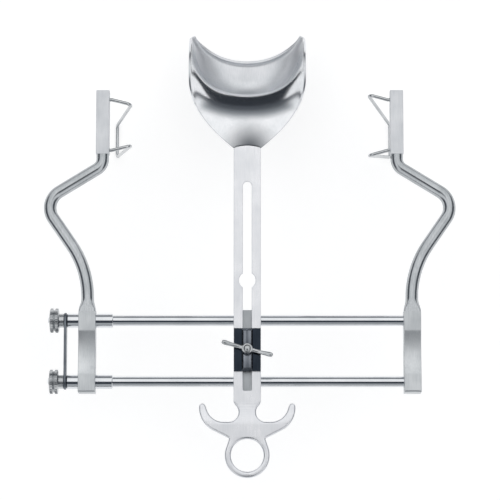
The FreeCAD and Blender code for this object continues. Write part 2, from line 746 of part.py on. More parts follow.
def round_wire(width, depth, corner, place_at):
    """A rounded rectangle of four lines and four arcs in the local XY plane of a placement."""
    across, along = width / 2, depth / 2
    slant = corner * (1 - math.sqrt(0.5))
    edges = []
    for turn in range(4):
        long, short = (across, along) if turn % 2 == 0 else (along, across)
        spin = Rotation(Vector(0, 0, 1), 90 * turn)
        start = spin.multVec(Vector(long, corner - short, 0))
        finish = spin.multVec(Vector(long, short - corner, 0))
        middle = spin.multVec(Vector(long - slant, short - slant, 0))
        after = spin.multVec(Vector(long - corner, short, 0))
        edges.append(Part.LineSegment(start, finish).toShape())
        edges.append(Part.Arc(finish, middle, after).toShape())
    wire = Part.Wire(edges)
    wire.Placement = place_at
    return wire


def arm(name, side):
    """An arm: a round rod bent outwards at the elbow, with a flared root on its block."""
    at = Vector(value("frame_shift"), value("rods_at"), value("rod_level"))

    def spot(across, up):
        return at + Vector(side * value(across), value(up), 0)

    points = [
        spot("knee_side", "bar_foot"),
        spot("knee_side", "knee_level"),
        spot("elbow_side", "elbow_rise"),
        spot("block_reach", "shin_rise"),
        spot("block_reach", "arm_end"),
    ]
    shin = min(value("shin_bend"), widest_bend(*points[2:]))
    bends = [value("knee_bend"), value("elbow_bend"), shin]
    rod_shape = bent_rod(points, bends, value("arm_bore"))
    upright = Rotation(Vector(1, 0, 0), 90)
    small = value("arm_bore")
    top = round_wire(small, small, small / 2 - ROUND_LAND, Placement(points[-1], upright))
    foot = round_wire(
        value("block_width"),
        value("block_depth"),
        value("root_round"),
        Placement(spot("block_reach", "block_head"), upright),
    )
    root = Part.makeLoft([top, foot], True, True)
    solid_piece(name, rod_shape.fuse(root))


def wire_blade(name, side, corner_span, tip_side):
    """A side blade: one wire bent into a deep loop, both ends brazed in the end bar."""
    at = Vector(value("frame_shift"), value("rods_at"), value("rod_level"))
    level = value("bar_foot") + value("wire_level")
    inner_face = value("knee_side") - value("bar_half")

    def spot(across, up, drop=0.0):
        return at + Vector(side * across, up, -drop)

    points = []
    for turn in (1, -1):
        root = level + turn * value("wire_root_span") / 2
        leg = [
            spot(value("knee_side") + value("bar_half"), root),
            spot(inner_face - value("wire_exit"), root),
            spot(inner_face - value("wire_shelf"), level + turn * value(corner_span) / 2),
            spot(
                value(tip_side),
                level - value("wire_shift") + turn * value("wire_span") / 2,
                value("wire_drop"),
            ),
        ]
        points += leg if turn == 1 else leg[::-1]
    solid_piece(name, bent_rod(points, [value("wire_bend")] * 6, value("wire_bore")))


def arc_edge(centre, radius, start, finish):
    """An arc in the XY plane between two angles in degrees."""
    turns = [math.radians(start + (finish - start) * share) for share in (0, 0.5, 1)]
    spots = [centre + Vector(math.cos(t), math.sin(t), 0) * radius for t in turns]
    return Part.Arc(*spots).toShape()


def tangent_angle(centre, radius, point, side):
    """The angle in degrees where a line from a point touches a circle, on the side of 1 or -1."""
    gap = point - centre
    return math.degrees(math.atan2(gap.y, gap.x) + side * math.acos(radius / gap.Length))


def hook_circle(reach, bottom):
    """The circle that is level at a hook's bottom and meets its tip, as (centre, radius, angle)."""
    side = value("hook_side")
    turn = math.radians(HOOK_TIP)
    across = reach * math.cos(turn)
    up = value("hook_rise") + reach * math.sin(turn) - bottom
    radius = (across**2 + up**2) / (2 * up)
    centre = Vector(side, bottom + radius, 0)
    return centre, radius, math.degrees(math.atan2(up - radius, across))


def handle_edges():
    """The right half of the handle's outline, from the ring's foot to the stem.

    Ring, notch, the hook's outside, tip and inside, the waist and the neck's double bend.
    """
    zero = Vector()
    ring = value("ring_bore") / 2 + value("ring_wall")
    notch = Vector(value("notch_side"), value("notch_rise"), 0)
    bend, rise = value("hook_bend"), value("hook_rise")
    root, tip = value("hook_root") / 2, value("hook_tip") / 2
    out_at, out_bend, out_turn = hook_circle(bend + tip, rise - bend - root)
    in_at, in_bend, in_turn = hook_circle(bend - tip, rise - bend + root)
    heel = tangent_angle(out_at, out_bend, notch, 1)
    outside = arc_edge(out_at, out_bend, heel, out_turn)
    inside = arc_edge(in_at, in_bend, in_turn, -90)
    crotch = value("hook_side") - value("waist_width") / 2
    crotch_at = Vector(value("hook_side"), rise - bend + root + crotch, 0)
    wide = value("stem_half") - value("waist_width") / 2
    tall = value("stem_foot") - crotch_at.y
    turn = 2 * math.degrees(math.atan2(wide, tall))
    swing = (wide**2 + tall**2) / (4 * wide)
    waist_at = Vector(value("waist_width") / 2 + swing, crotch_at.y, 0)
    neck_at = Vector(value("stem_half") - swing, value("stem_foot"), 0)
    arcs = [
        arc_edge(zero, ring, -90, tangent_angle(zero, ring, notch, -1)),
        outside,
        inside,
        arc_edge(crotch_at, crotch, 270, 180),
        arc_edge(waist_at, swing, 180, 180 - turn),
        arc_edge(neck_at, swing, -turn, 0),
    ]
    touch = arcs[0].Vertexes[-1].Point
    runs = [(touch, notch), (notch, outside.Vertexes[0].Point)]
    runs.append((outside.Vertexes[-1].Point, inside.Vertexes[0].Point))
    return arcs + [Part.LineSegment(*run).toShape() for run in runs]


def finger_handle(name):
    """The handle: neck, finger ring and two hooks, a flat forging with rounded edges."""
    right = handle_edges()
    left = [edge.mirror(Vector(), Vector(1, 0, 0)) for edge in right]
    half, foot = value("stem_half"), value("stem_foot")
    top = Part.LineSegment(Vector(-half, foot, 0), Vector(half, foot, 0)).toShape()
    wire = Part.Wire(Part.__sortEdges__(right + left + [top]))
    height = value("handle_gauge")
    level = Vector(0, 0, height / 2)
    shape = Part.Face(wire).extrude(level * 2).translated(-level)
    bore = Part.makeCylinder(value("ring_bore") / 2, height, -level)
    shape = shape.cut(bore).removeSplitter()
    notches = [Vector(s * value("notch_side"), value("notch_rise"), 0) for s in (1, -1)]
    bends = [edge for edge in shape.Edges if stands_on(edge, notches)]
    shape = shape.makeFillet(value("notch_round"), bends)
    tips = [v.Point for edge in (right[-1], left[-1]) for v in edge.Vertexes]
    corners = [edge for edge in shape.Edges if stands_on(edge, tips)]
    shape = shape.makeFillet(value("hook_tip") * TIP_SHARE, corners)
    flat = [e for e in shape.Edges if on_plane(e, "z", level.z) or on_plane(e, "z", -level.z)]
    rims = [edge for edge in flat if not on_plane(edge, "y", foot)]
    shape = shape.makeFillet(value("handle_round"), rims)
    ends = [
        edge
        for edge in shape.Edges
        if on_plane(edge, "y", foot) and abs(edge.CenterOfMass.z) > level.z - TOUCH
    ]
    solid_piece(name, shape.makeChamfer((height - value("stem_gauge")) / 2, ends))


def blade_profile(share):
    """The blade's middle line in the side view, as (y, z) at a share of its length.

    A flat run, the shoulder bend down, a straight wall, the heel bend and the flat lip.
    """
    shoulder, heel = value("shoulder_bend"), value("heel_bend")
    wall = value("blade_depth") - shoulder - heel
    runs = [value("blade_run"), shoulder * math.pi / 2, wall, heel * math.pi / 2]
    runs.append(value("lip_reach"))
    left = share * sum(runs)
    y, z = value("seam_top"), 0.0
    if left <= runs[0]:
        return y + left, z
    y += runs[0]
    left -= runs[0]
    if left <= runs[1]:
        turn = left / shoulder
        return y + shoulder * math.sin(turn), -shoulder * (1 - math.cos(turn))
    y, z = y + shoulder, -shoulder
    left -= runs[1]
    if left <= runs[2]:
        return y, z - left
    z -= wall
    left -= runs[2]
    if left <= runs[3]:
        turn = left / heel
        return y + heel * (1 - math.cos(turn)), z - heel * math.sin(turn)
    y, z = y + heel, z - heel
    return y + left - runs[3], z


def blade_edge(share):
    """The blade's side edge as (half width, y, z) at a share of its length."""
    bow = 0.75 * math.sin(math.pi / 2 * share) + 0.25 * share
    y = value("stem_head") + value("horn_reach") * bow
    z = -value("horn_drop") * share**1.7
    spread = min(1.0, (y - value("stem_head")) / value("flare_length"))
    half = value("blade_width") / 2
    return half - (half - value("stem_half")) * (1 - spread) ** 2.2, y, z


def blade_floor(along, across):
    """A point of the blade's middle surface without its rim; across runs from -1 to 1."""
    y, z = blade_profile(along)
    half, edge_y, edge_z = blade_edge(along)
    bow = (1 - math.sqrt(1 - (TROUGH_SHARE * across) ** 2)) / (1 - math.sqrt(1 - TROUGH_SHARE**2))
    return Vector(half * across, y + (edge_y - y) * bow, z + (edge_z - z) * bow)


def slopes(surface, along, across, end):
    """The unit directions along and across a surface given as a function."""
    low, high = max(0.0, along - STEP), min(end, along + STEP)
    left, right = max(-1.0, across - STEP), min(1.0, across + STEP)
    forward = (surface(high, across) - surface(low, across)).normalize()
    sideways = (surface(along, right) - surface(along, left)).normalize()
    return forward, sideways


def blade_point(along, across):
    """A point of the blade's middle surface; beyond 1 the rim turns up through a right angle."""
    if along <= 1:
        return blade_floor(along, across)
    forward, sideways = slopes(blade_floor, 1.0, across, 1.0)
    upward = sideways.cross(forward).normalize()
    turn = (along - 1) / RIM_SHARE * math.pi / 2
    bend = value("rim_rise")
    ahead, rise = bend * math.sin(turn), bend * (1 - math.cos(turn))
    return blade_floor(1.0, across) + forward * ahead + upward * rise


def blade_skin(offset):
    """A surface beside the blade's middle surface, at an offset that depends on the length."""
    stations = [i / (ALONG - 1) for i in range(ALONG)]
    stations += [1 + RIM_SHARE * (i + 1) / RIM_ROWS for i in range(RIM_ROWS)]
    rows = []
    for along in stations:
        row = []
        for j in range(ACROSS):
            across = -1 + 2 * j / (ACROSS - 1)
            forward, sideways = slopes(blade_point, along, across, stations[-1])
            normal = sideways.cross(forward).normalize()
            row.append(blade_point(along, across) + normal * offset(along))
        rows.append(row)
    surface = Part.BSplineSurface()
    surface.interpolate(rows)
    return surface


def centre_blade(name):
    """The centre blade: a deep trough-shaped plate with a lip and a turned-up rim."""
    stem, plate = value("stem_gauge"), value("blade_gauge")

    def half_gauge(along):
        """Half the plate's thickness, from the stem's at the seam to the blade's."""
        return (plate + (stem - plate) * max(0.0, 1 - 3 * along)) / 2

    over = blade_skin(half_gauge).toShape()
    under = blade_skin(lambda along: -half_gauge(along)).toShape()
    walls = [Part.makeRuledSurface(a, b) for a, b in zip(over.Edges, under.Edges)]
    shell = Part.makeShell([over, under, *walls])
    shell.sewShape()
    blade = Part.makeSolid(Part.Shell(shell.Faces))
    if blade.Volume < 0:
        blade.reverse()
    half, top = value("stem_half"), value("stem_head")
    seam = Part.Arc(Vector(half, top, 0), Vector(0, value("seam_top"), 0), Vector(-half, top, 0))
    back = [Vector(-half, top, 0), Vector(-half, 0, 0), Vector(half, 0, 0), Vector(half, top, 0)]
    sides = [Part.LineSegment(a, b).toShape() for a, b in zip(back, back[1:])]
    cutter = Part.Face(Part.Wire([seam.toShape(), *sides]))
    cutter.translate(Vector(0, 0, -stem))
    solid_piece(name, blade.cut(cutter.extrude(Vector(0, 0, 2 * stem))))


def build():
    """Make every piece."""
    fill_sheet()
    rod("upper_rod", "upper_rod_at")
    rod("lower_rod", "lower_rod_at")
    tie_plate("tie_plate")
    knurled_nut("upper_rod_nut", "upper_rod_at")
    knurled_nut("lower_rod_nut", "lower_rod_at")
    arm_block("right_arm_block", "right_block_at", "rod_bore")
    arm("right_arm", 1)
    end_bar("right_end_bar", "right_bar_at")
    wire_blade("right_wire_blade", 1, "right_corner_span", "right_tip_side")
    arm_block("left_arm_block", "left_block_at", "bush_bore")
    bush("upper_bush", "upper_rod_at")
    bush("lower_bush", "lower_rod_at")
    arm("left_arm", -1)
    end_bar("left_end_bar", "left_bar_at")
    wire_blade("left_wire_blade", -1, "left_corner_span", "left_tip_side")
    saddle("saddle")
    clamp_stud("clamp_stud")
    pressure_plate("pressure_plate")
    wing_nut("wing_nut")
    blade_stem("blade_stem")
    finger_handle("finger_handle")
    centre_blade("centre_blade")
    document.recompute()


def check():
    """Stop if an object failed or a piece is empty or invalid."""
    for item in document.Objects:
        if {"Invalid", "Error"} & set(item.State):
            raise RuntimeError(f"{item.Name} failed: {item.State}")
    for name, item in pieces.items():
        shape = item.Shape
        if shape.isNull() or not shape.isValid() or not shape.Solids:
            raise RuntimeError(f"{name} is not a valid solid")


def export():
    """Write each piece to its own STEP file."""
    os.makedirs("parts", exist_ok=True)
    for name, item in pieces.items():
        item.Shape.exportStep(f"parts/{name}.step")


build()
check()
export()
for piece_name, piece in pieces.items():
    print(f"{piece_name}: {piece.Shape.Volume:.0f} mm3, {len(piece.Shape.Solids)} solid")
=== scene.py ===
"""Looks of the self retaining retractor: polished, satin and brushed stainless steel.

Each sub-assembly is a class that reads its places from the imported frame, builds its meshes in
millimetres and dresses them. Knurls, threads and bent wires are made by node trees.
"""

from __future__ import annotations

import logging
import math
from dataclasses import dataclass
from enum import Enum
from functools import cache
from typing import Callable, Iterable, Sequence

import bmesh
import bpy
from mathutils import Matrix, Vector

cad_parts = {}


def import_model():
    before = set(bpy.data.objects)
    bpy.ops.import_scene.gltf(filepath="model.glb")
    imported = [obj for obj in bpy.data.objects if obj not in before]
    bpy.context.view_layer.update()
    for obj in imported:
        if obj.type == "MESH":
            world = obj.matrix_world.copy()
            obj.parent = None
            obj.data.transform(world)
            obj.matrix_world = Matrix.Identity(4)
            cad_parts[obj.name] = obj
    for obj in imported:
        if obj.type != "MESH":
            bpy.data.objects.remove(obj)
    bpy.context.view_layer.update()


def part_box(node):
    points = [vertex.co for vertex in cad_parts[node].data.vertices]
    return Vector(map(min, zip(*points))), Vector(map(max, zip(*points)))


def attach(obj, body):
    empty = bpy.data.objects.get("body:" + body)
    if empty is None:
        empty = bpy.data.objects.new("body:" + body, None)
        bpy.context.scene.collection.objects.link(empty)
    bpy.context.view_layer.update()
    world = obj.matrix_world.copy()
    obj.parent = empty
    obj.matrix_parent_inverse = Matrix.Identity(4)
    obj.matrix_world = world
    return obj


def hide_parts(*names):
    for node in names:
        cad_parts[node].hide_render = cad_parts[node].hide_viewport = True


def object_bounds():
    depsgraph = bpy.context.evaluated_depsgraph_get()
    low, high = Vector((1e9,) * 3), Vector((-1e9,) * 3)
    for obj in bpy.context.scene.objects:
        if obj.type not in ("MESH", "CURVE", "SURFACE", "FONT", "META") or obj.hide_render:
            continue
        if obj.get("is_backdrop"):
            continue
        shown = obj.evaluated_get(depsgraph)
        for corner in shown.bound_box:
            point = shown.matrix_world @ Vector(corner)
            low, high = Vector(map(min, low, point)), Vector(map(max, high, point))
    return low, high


LOG = logging.getLogger("retractor")
MM = 0.001
# Radial clearance of every running fit
GAP = 0.05
# Depth of a thread's core below its crest, against the pitch
CORE_SINK = 0.45
# Unit vectors of the row frame
UNITS = (Vector((1, 0, 0)), Vector((0, 1, 0)), Vector((0, 0, 1)))

Outline = list[tuple[float, float]]
Item = bpy.types.Object
Tree = bpy.types.NodeTree
Socket = bpy.types.NodeSocket


class Axis(Enum):
    """A direction of the row frame, as the number of its unit vector."""

    X = 0
    Y = 1
    Z = 2


class Plane(Enum):
    """The plane that an outline is drawn in, with the matrix that turns it there."""

    XY = Matrix(((1, 0, 0), (0, 1, 0), (0, 0, 1)))
    YZ = Matrix(((0, 0, 1), (1, 0, 0), (0, 1, 0)))


def hex_colour(code: str) -> tuple[float, float, float, float]:
    """Turn an sRGB hex colour into linear values.

    Args:
        code: Six hex digits, such as "c8c9cc".

    Returns:
        Red, green, blue and an alpha of 1.
    """
    channels = [int(code[i : i + 2], 16) / 255 for i in (0, 2, 4)]
    linear = [c / 12.92 if c <= 0.04045 else ((c + 0.055) / 1.055) ** 2.4 for c in channels]
    return (linear[0], linear[1], linear[2], 1.0)


def add_node(tree: Tree, kind: str, inputs: dict | None = None, **settings: object) -> bpy.types.Node:
    """Add a node, set it up and link it.

    Args:
        tree: The node tree.
        kind: The node's type name.
        inputs: For an input's name or number, the socket to link or the value to set.
        settings: Properties of the node.

    Returns:
        The new node.
    """
    node = tree.nodes.new(kind)
    for name, setting in settings.items():
        setattr(node, name, setting)
    for name, source in (inputs or {}).items():
        if isinstance(source, Socket):
            tree.links.new(source, node.inputs[name])
        else:
            node.inputs[name].default_value = source
    return node


def first_of(
    tree: Tree, kind: str, inputs: dict | None = None, **settings: object
) -> Socket:
    """Add a node as add_node does and give its first output."""
    return add_node(tree, kind, inputs, **settings).outputs[0]


def computed(tree: Tree, operation: str, first: Socket, second: Socket | float = 0.0) -> Socket:
    """The result of one sum."""
    return first_of(tree, "ShaderNodeMath", {0: first, 1: second}, operation=operation)


def blended(tree: Tree, share: Socket, first: object, second: object) -> Socket:
    """The colour between two, each of them a socket or a linear colour."""
    inputs = {0: share, 6: first, 7: second}
    return add_node(tree, "ShaderNodeMix", inputs, data_type="RGBA").outputs[2]


def mapped(
    tree: Tree,
    value: Socket,
    low: float,
    high: float,
    ends: tuple[float, float] = (0.0, 1.0),
    ease: str = "LINEAR",
) -> Socket:
    """Map a value from one span to another and hold it beyond the ends.

    Args:
        tree: The node tree.
        value: The value.
        low: Start of its span.
        high: End of its span.
        ends: What the start and the end become.
        ease: How the result runs between them.

    Returns:
        The mapped value.
    """
    inputs = {"Value": value, "From Min": low, "From Max": high}
    inputs |= {"To Min": ends[0], "To Max": ends[1]}
    return first_of(tree, "ShaderNodeMapRange", inputs, interpolation_type=ease)


def emptied(owner: bpy.types.Material | bpy.types.World) -> Tree:
    """Give a material or a world an empty node tree.

    Args:
        owner: The material or the world.

    Returns:
        Its node tree.
    """
    owner.use_nodes = True
    owner.node_tree.nodes.clear()
    return owner.node_tree


@dataclass(frozen=True)
class Steel:
    """A stainless steel finish.

    Args:
        name: Name of the material.
        light: Colour of the bright part of the grain.
        dark: Colour of the dark part of the grain.
        roughness: Middle roughness.
        spread: How far the roughness varies.
        grain: Direction that the tool marks run in.
        pitch: Spacing of the tool marks in millimetres.
        stretch: Length of a tool mark against its spacing.
        relief: Depth of the tool marks in millimetres.
        cloud: Size in millimetres of the slow changes left by hand polishing.
        contrast: Half the span of both noises' sum that runs from dark to light.
        painted_reflection: Place, reach in millimetres and colour of a dark patch painted into the
            colour as a reflection, or None.
        dull: Heights between which the polish turns dull, and by how much, or None.
    """

    name: str
    light: str
    dark: str
    roughness: float
    spread: float
    grain: Axis
    pitch: float
    stretch: float
    relief: float
    cloud: float = 14.0
    contrast: float = 0.3
    painted_reflection: tuple[Vector, float, str] | None = None
    dull: tuple[float, float, float] | None = None

    def material(self) -> bpy.types.Material:
        """Build the material, or find it if it is there already.

        Returns:
            The material.
        """
        found = bpy.data.materials.get(self.name)
        if found:
            return found
        material = bpy.data.materials.new(self.name)
        tree = emptied(material)
        place = add_node(tree, "ShaderNodeTexCoord").outputs["Object"]
        scale = [1 / (self.pitch * MM)] * 3
        scale[self.grain.value] /= self.stretch
        lines = first_of(tree, "ShaderNodeMapping", {"Vector": place, "Scale": scale})
        fine = {"Vector": lines, "Scale": 1.0, "Detail": 3.0, "Roughness": 0.6}
        marks = first_of(tree, "ShaderNodeTexNoise", fine)
        slow = {"Vector": place, "Scale": 1 / (self.cloud * MM), "Detail": 2.0}
        clouds = first_of(tree, "ShaderNodeTexNoise", slow)
        both = computed(tree, "ADD", marks, clouds)
        share = mapped(tree, both, 1 - self.contrast, 1 + self.contrast)
        colour = blended(tree, share, hex_colour(self.dark), hex_colour(self.light))
        # Painted reflection: a dark patch put into the base colour around a spot at the blade's seam
        if self.painted_reflection:
            colour = self.with_painted_reflection(tree, place, colour)
        ends = (self.roughness + self.spread, self.roughness - self.spread)
        rough = mapped(tree, share, 0.0, 1.0, ends)
        if self.dull:
            rough = self.dulled(tree, place, rough)
        relief = {"Height": marks, "Distance": self.relief * MM, "Strength": 1.0}
        inputs = {"Base Color": colour, "Metallic": 1.0, "Roughness": rough}
        inputs["Normal"] = first_of(tree, "ShaderNodeBump", relief)
        shader = first_of(tree, "ShaderNodeBsdfPrincipled", inputs)
        add_node(tree, "ShaderNodeOutputMaterial", {"Surface": shader})
        return material

    def with_painted_reflection(self, tree: Tree, place: Socket, colour: Socket) -> Socket:
        """Darken the colour around a spot: a painted dark reflection.

        Args:
            tree: The material's tree.
            place: Its Object coordinates.
            colour: The colour without the painted reflection.

        Returns:
            The colour with the painted reflection.
        """
        spot, reach, painted_reflection = self.painted_reflection
        inputs = {0: place, 1: spot * MM}
        away = add_node(tree, "ShaderNodeVectorMath", inputs, operation="DISTANCE")
        near = mapped(tree, away.outputs["Value"], 0.0, reach * MM, (1.0, 0.0), "SMOOTHSTEP")
        return blended(tree, near, colour, hex_colour(painted_reflection))

    def dulled(self, tree: Tree, place: Socket, rough: Socket) -> Socket:
        """Add roughness below a height.

        Args:
            tree: The material's tree.
            place: Its Object coordinates.
            rough: The roughness of the polish.

        Returns:
            The roughness with the dull part.
        """
        start, finish, added = self.dull
        height = add_node(tree, "ShaderNodeSeparateXYZ", {0: place}).outputs["Z"]
        low = mapped(tree, height, start * MM, finish * MM, (0.0, added))
        return computed(tree, "ADD", rough, low)


# Martensitic stainless steel, glass bead blasted then brushed lengthwise: soft pale grey sheen
SATIN_FLAT = Steel("satin_stainless_flat", "e6e7ea", "dcdee2", 0.3, 0.05, Axis.Y, 0.35, 30, 0.004)
# The same on the end bars, left a little greyer
SATIN_BAR = Steel("satin_stainless_bar", "d7d9dc", "c9ccd0", 0.36, 0.05, Axis.Y, 0.35, 30, 0.004)
# The same, ground on a belt along the block: clear fine vertical lines
BRUSHED_BLOCK = Steel("brushed_stainless", "d6d9db", "bec2c5", 0.41, 0.07, Axis.Y, 0.28, 40, 0.007)
# Round bar polished on a soft wheel: blurred reflections with a slight haze
SATIN_ROD = Steel("satin_stainless_rod", "c0c3c6", "a8acaf", 0.17, 0.05, Axis.Y, 0.5, 10, 0.003)
# Centreless ground and buffed rod: sharp bands of light
BRIGHT_ROD = Steel("bright_stainless_rod", "dfe1e4", "d0d3d7", 0.12, 0.02, Axis.X, 0.3, 40, 0.001)
# Buffed spoon: soft-edged reflections, a painted dark reflection put into its colour at the seam, a
# duller lip
BLADE_POLISH = Steel(
    "polished_stainless", "eaebee", "dadde0", 0.17, 0.03, Axis.Y, 0.5, 12, 0.001,
    painted_reflection=(Vector((1.7, 215.5, 0.0)), 25.0, "5a5e63"),
    dull=(-30.0, -42.0, 0.3),
)
# Mirror polished plate; its dark colour is painted reflection, the dark that it mirrors put into its
# base colour
MIRROR_PAINTED_REFLECTION = Steel("polished_steel_painted_reflection", "2d343d", "20262e", 0.10, 0.03, Axis.Y, 0.4, 20, 0.001)
# Milled saddle, its colour made darker as painted shade for the shadow that it lies in under the stem
# and the nut
SADDLE_PAINTED_SHADE = Steel("milled_saddle_painted_shade", "b6babd", "a0a4a8", 0.4, 0.06, Axis.Y, 0.35, 30, 0.006)
# Ground rib with the marks of the wheel along it; the deep dark of its grain is painted shade from
# the wing nut over it
GROUND_RIB_PAINTED_SHADE = Steel("ground_rib_painted_shade", "8b9098", "3f444c", 0.3, 0.06, Axis.Y, 0.9, 60, 0.008)
# Plate cut from blued strip, left as rolled
BLUED_STRIP = Steel("blued_strip", "7d838a", "5f656c", 0.34, 0.05, Axis.Y, 0.4, 30, 0.004)
# Turned and knurled steel
TURNED = Steel("turned_stainless", "cfd1d3", "adb0b2", 0.26, 0.06, Axis.Z, 0.3, 3, 0.003)
# Bright drawn spring wire
WIRE = Steel("drawn_stainless_wire", "cfd1d3", "b4b7ba", 0.22, 0.05, Axis.Z, 0.25, 12, 0.002)


def new_mesh(
    name: str, points: Sequence[Vector], faces: Sequence[Sequence[int]]
) -> bpy.types.Mesh:
    """Make a mesh from points in millimetres.

    Args:
        name: Name of the mesh.
        points: The points.
        faces: Each face as the numbers of its points.

    Returns:
        The mesh, in metres.
    """
    mesh = bpy.data.meshes.new(name)
    mesh.from_pydata([Vector(p) * MM for p in points], [], faces)
    mesh.update()
    return mesh


def new_object(name: str, mesh: bpy.types.ID) -> Item:
    """Link a new object at the origin.

    Args:
        name: Its name.
        mesh: Its mesh, curve or camera.

    Returns:
        The object.
    """
    item = bpy.data.objects.new(name, mesh)
    bpy.context.scene.collection.objects.link(item)
    return item


def evaluated(item: Item) -> bpy.types.Mesh:
    """Make a mesh of what an object's modifiers or curve settings make.

    Args:
        item: The object.

    Returns:
        A new mesh.
    """
    bpy.context.view_layer.update()
    graph = bpy.context.evaluated_depsgraph_get()
    return bpy.data.meshes.new_from_object(
        item.evaluated_get(graph), preserve_all_data_layers=True, depsgraph=graph
    )


def applied(item: Item) -> Item:
    """Turn an object's modifiers into a plain mesh.

    Args:
        item: The object.

    Returns:
        The same object, without modifiers.
    """
    mesh = evaluated(item)
    item.modifiers.clear()
    item.data = mesh
    return item


def welded(mesh: bpy.types.Mesh, gap: float) -> bpy.types.Mesh:
    """Merge points that lie close together and turn the faces outwards.

    Args:
        mesh: The mesh.
        gap: Points closer than this many millimetres are merged.

    Returns:
        The same mesh.
    """
    work = bmesh.new()
    work.from_mesh(mesh)
    bmesh.ops.remove_doubles(work, verts=work.verts, dist=gap * MM)
    bmesh.ops.recalc_face_normals(work, faces=work.faces)
    work.to_mesh(mesh)
    work.free()
    return mesh


def softened(item: Item, width: float = 0.0, angle: float = 40.0) -> Item:
    """Round the sharp edges of an object and smooth its shading.

    Args:
        item: The object.
        width: Width of the rounding in millimetres; 0 leaves the edges as they are.
        angle: Edges sharper than this many degrees are rounded, or else stay sharp.

    Returns:
        The object with a plain mesh.
    """
    item.data.shade_smooth()
    if width > 0:
        bevel = item.modifiers.new("edges", "BEVEL")
        bevel.width = width * MM
        bevel.segments = 3
        bevel.limit_method = "ANGLE"
        bevel.angle_limit = math.radians(angle)
        bevel.use_clamp_overlap = True
        item = applied(item)
    item.data.set_sharp_from_angle(angle=math.radians(angle))
    item.modifiers.new("normals", "WEIGHTED_NORMAL").keep_sharp = True
    return applied(item)


def dressed(item: Item, finish: Steel, slot: str, body: str, *nodes: str) -> None:
    """Give a piece its finish and its place in the frame.

    Args:
        item: The piece.
        finish: Its steel.
        slot: The record's material slot; not used.
        body: The body that it rides on.
        nodes: CAD nodes that it stands for.
    """
    if not item.data.materials:
        item.data.materials.append(finish.material())
    if nodes:
        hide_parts(*nodes)
    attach(item, body)
    LOG.info("%s: %d faces on %s", item.name, len(item.data.polygons), body)


def circle(radius: float, across: float = 0.0, up: float = 0.0, count: int = 64) -> Outline:
    """A circle as an outline of points."""
    turns = [2 * math.pi * i / count for i in range(count)]
    return [(across + radius * math.cos(t), up + radius * math.sin(t)) for t in turns]


def bores(radius: float, half: float, count: int = 64) -> list[Outline]:
    """Two circles, half above and half below the origin."""
    return [circle(radius, half, 0, count), circle(radius, -half, 0, count)]


def rectangle(wide: float, tall: float) -> Outline:
    """A rectangle around the origin, from half its sides."""
    return [(-wide, -tall), (wide, -tall), (wide, tall), (-wide, tall)]


def arc(
    centre: Sequence[float], radius: float, start: float, finish: float, step: float = 6.0
) -> Outline:
    """Points along an arc, both ends included.

    Args:
        centre: Centre of the arc.
        radius: Its radius.
        start: First angle in degrees.
        finish: Last angle in degrees.
        step: Largest angle between two points.

    Returns:
        The points.
    """
    count = max(2, math.ceil(abs(finish - start) / step))
    turns = [math.radians(start + (finish - start) * i / count) for i in range(count + 1)]
    return [(centre[0] + radius * math.cos(t), centre[1] + radius * math.sin(t)) for t in turns]


def arc_through(first: Vector, middle: Vector, last: Vector, count: int) -> Outline:
    """Points of the arc through three points, both ends included.

    Args:
        first: Where it starts.
        middle: A point that it passes.
        last: Where it ends.
        count: Number of steps along it.

    Returns:
        The points.
    """
    a, b = middle - first, last - first
    cross = 2 * (a.x * b.y - a.y * b.x)
    across = (b.y * a.length_squared - a.y * b.length_squared) / cross
    up = (a.x * b.length_squared - b.x * a.length_squared) / cross
    centre = first + Vector((across, up))
    start = first - centre
    turn = start.angle_signed(last - centre)
    if start.angle_signed(middle - centre) * turn < 0:
        turn -= math.copysign(2 * math.pi, turn)
    spins = [Matrix.Rotation(-turn * i / count, 2) for i in range(count + 1)]
    return [tuple(centre + spin @ start) for spin in spins]


def tangent_angle(centre: Vector, radius: float, point: Vector, side: int) -> float:
    """Angle in degrees of the spot where a tangent from a point touches a circle.

    Args:
        centre: Centre of the circle.
        radius: Its radius.
        point: A point outside it.
        side: Which of the two tangents, 1 or -1.

    Returns:
        The angle.
    """
    away = point - centre
    spread = math.acos(radius / away.length)
    return math.degrees(math.atan2(away.y, away.x) + side * spread)


def plate(
    name: str,
    loops: Iterable[Outline],
    thickness: float,
    edge: float,
    plane: Plane,
    middle: Vector,
    steps: int = 2,
) -> Item:
    """A plate cut from outlines, with all its edges rounded.

    Args:
        name: Name of the piece.
        loops: The outer outline and the outlines of its holes.
        thickness: Thickness in millimetres.
        edge: Rounding of its edges.
        plane: Plane of the outlines.
        middle: Where the origin of the outlines goes, at half the thickness.
        steps: How finely the rounding is divided.

    Returns:
        The piece.
    """
    curve = bpy.data.curves.new(name, "CURVE")
    curve.dimensions = "2D"
    curve.fill_mode = "BOTH"
    curve.extrude = thickness / 2 - edge
    curve.bevel_depth = edge
    curve.bevel_resolution = steps
    curve.offset = -edge
    for loop in loops:
        spline = curve.splines.new("POLY")
        spline.points.add(len(loop) - 1)
        for point, (across, up) in zip(spline.points, loop):
            point.co = (across, up, 0, 1)
        spline.use_cyclic_u = True
    flat = new_object(name, curve)
    mesh = evaluated(flat)
    bpy.data.objects.remove(flat)
    mesh.name = name
    for move in (plane.value.to_4x4(), Matrix.Translation(middle), Matrix.Scale(MM, 4)):
        mesh.transform(move)
    item = new_object(name, welded(mesh, 0.002))
    item.data.materials.clear()
    return softened(item)


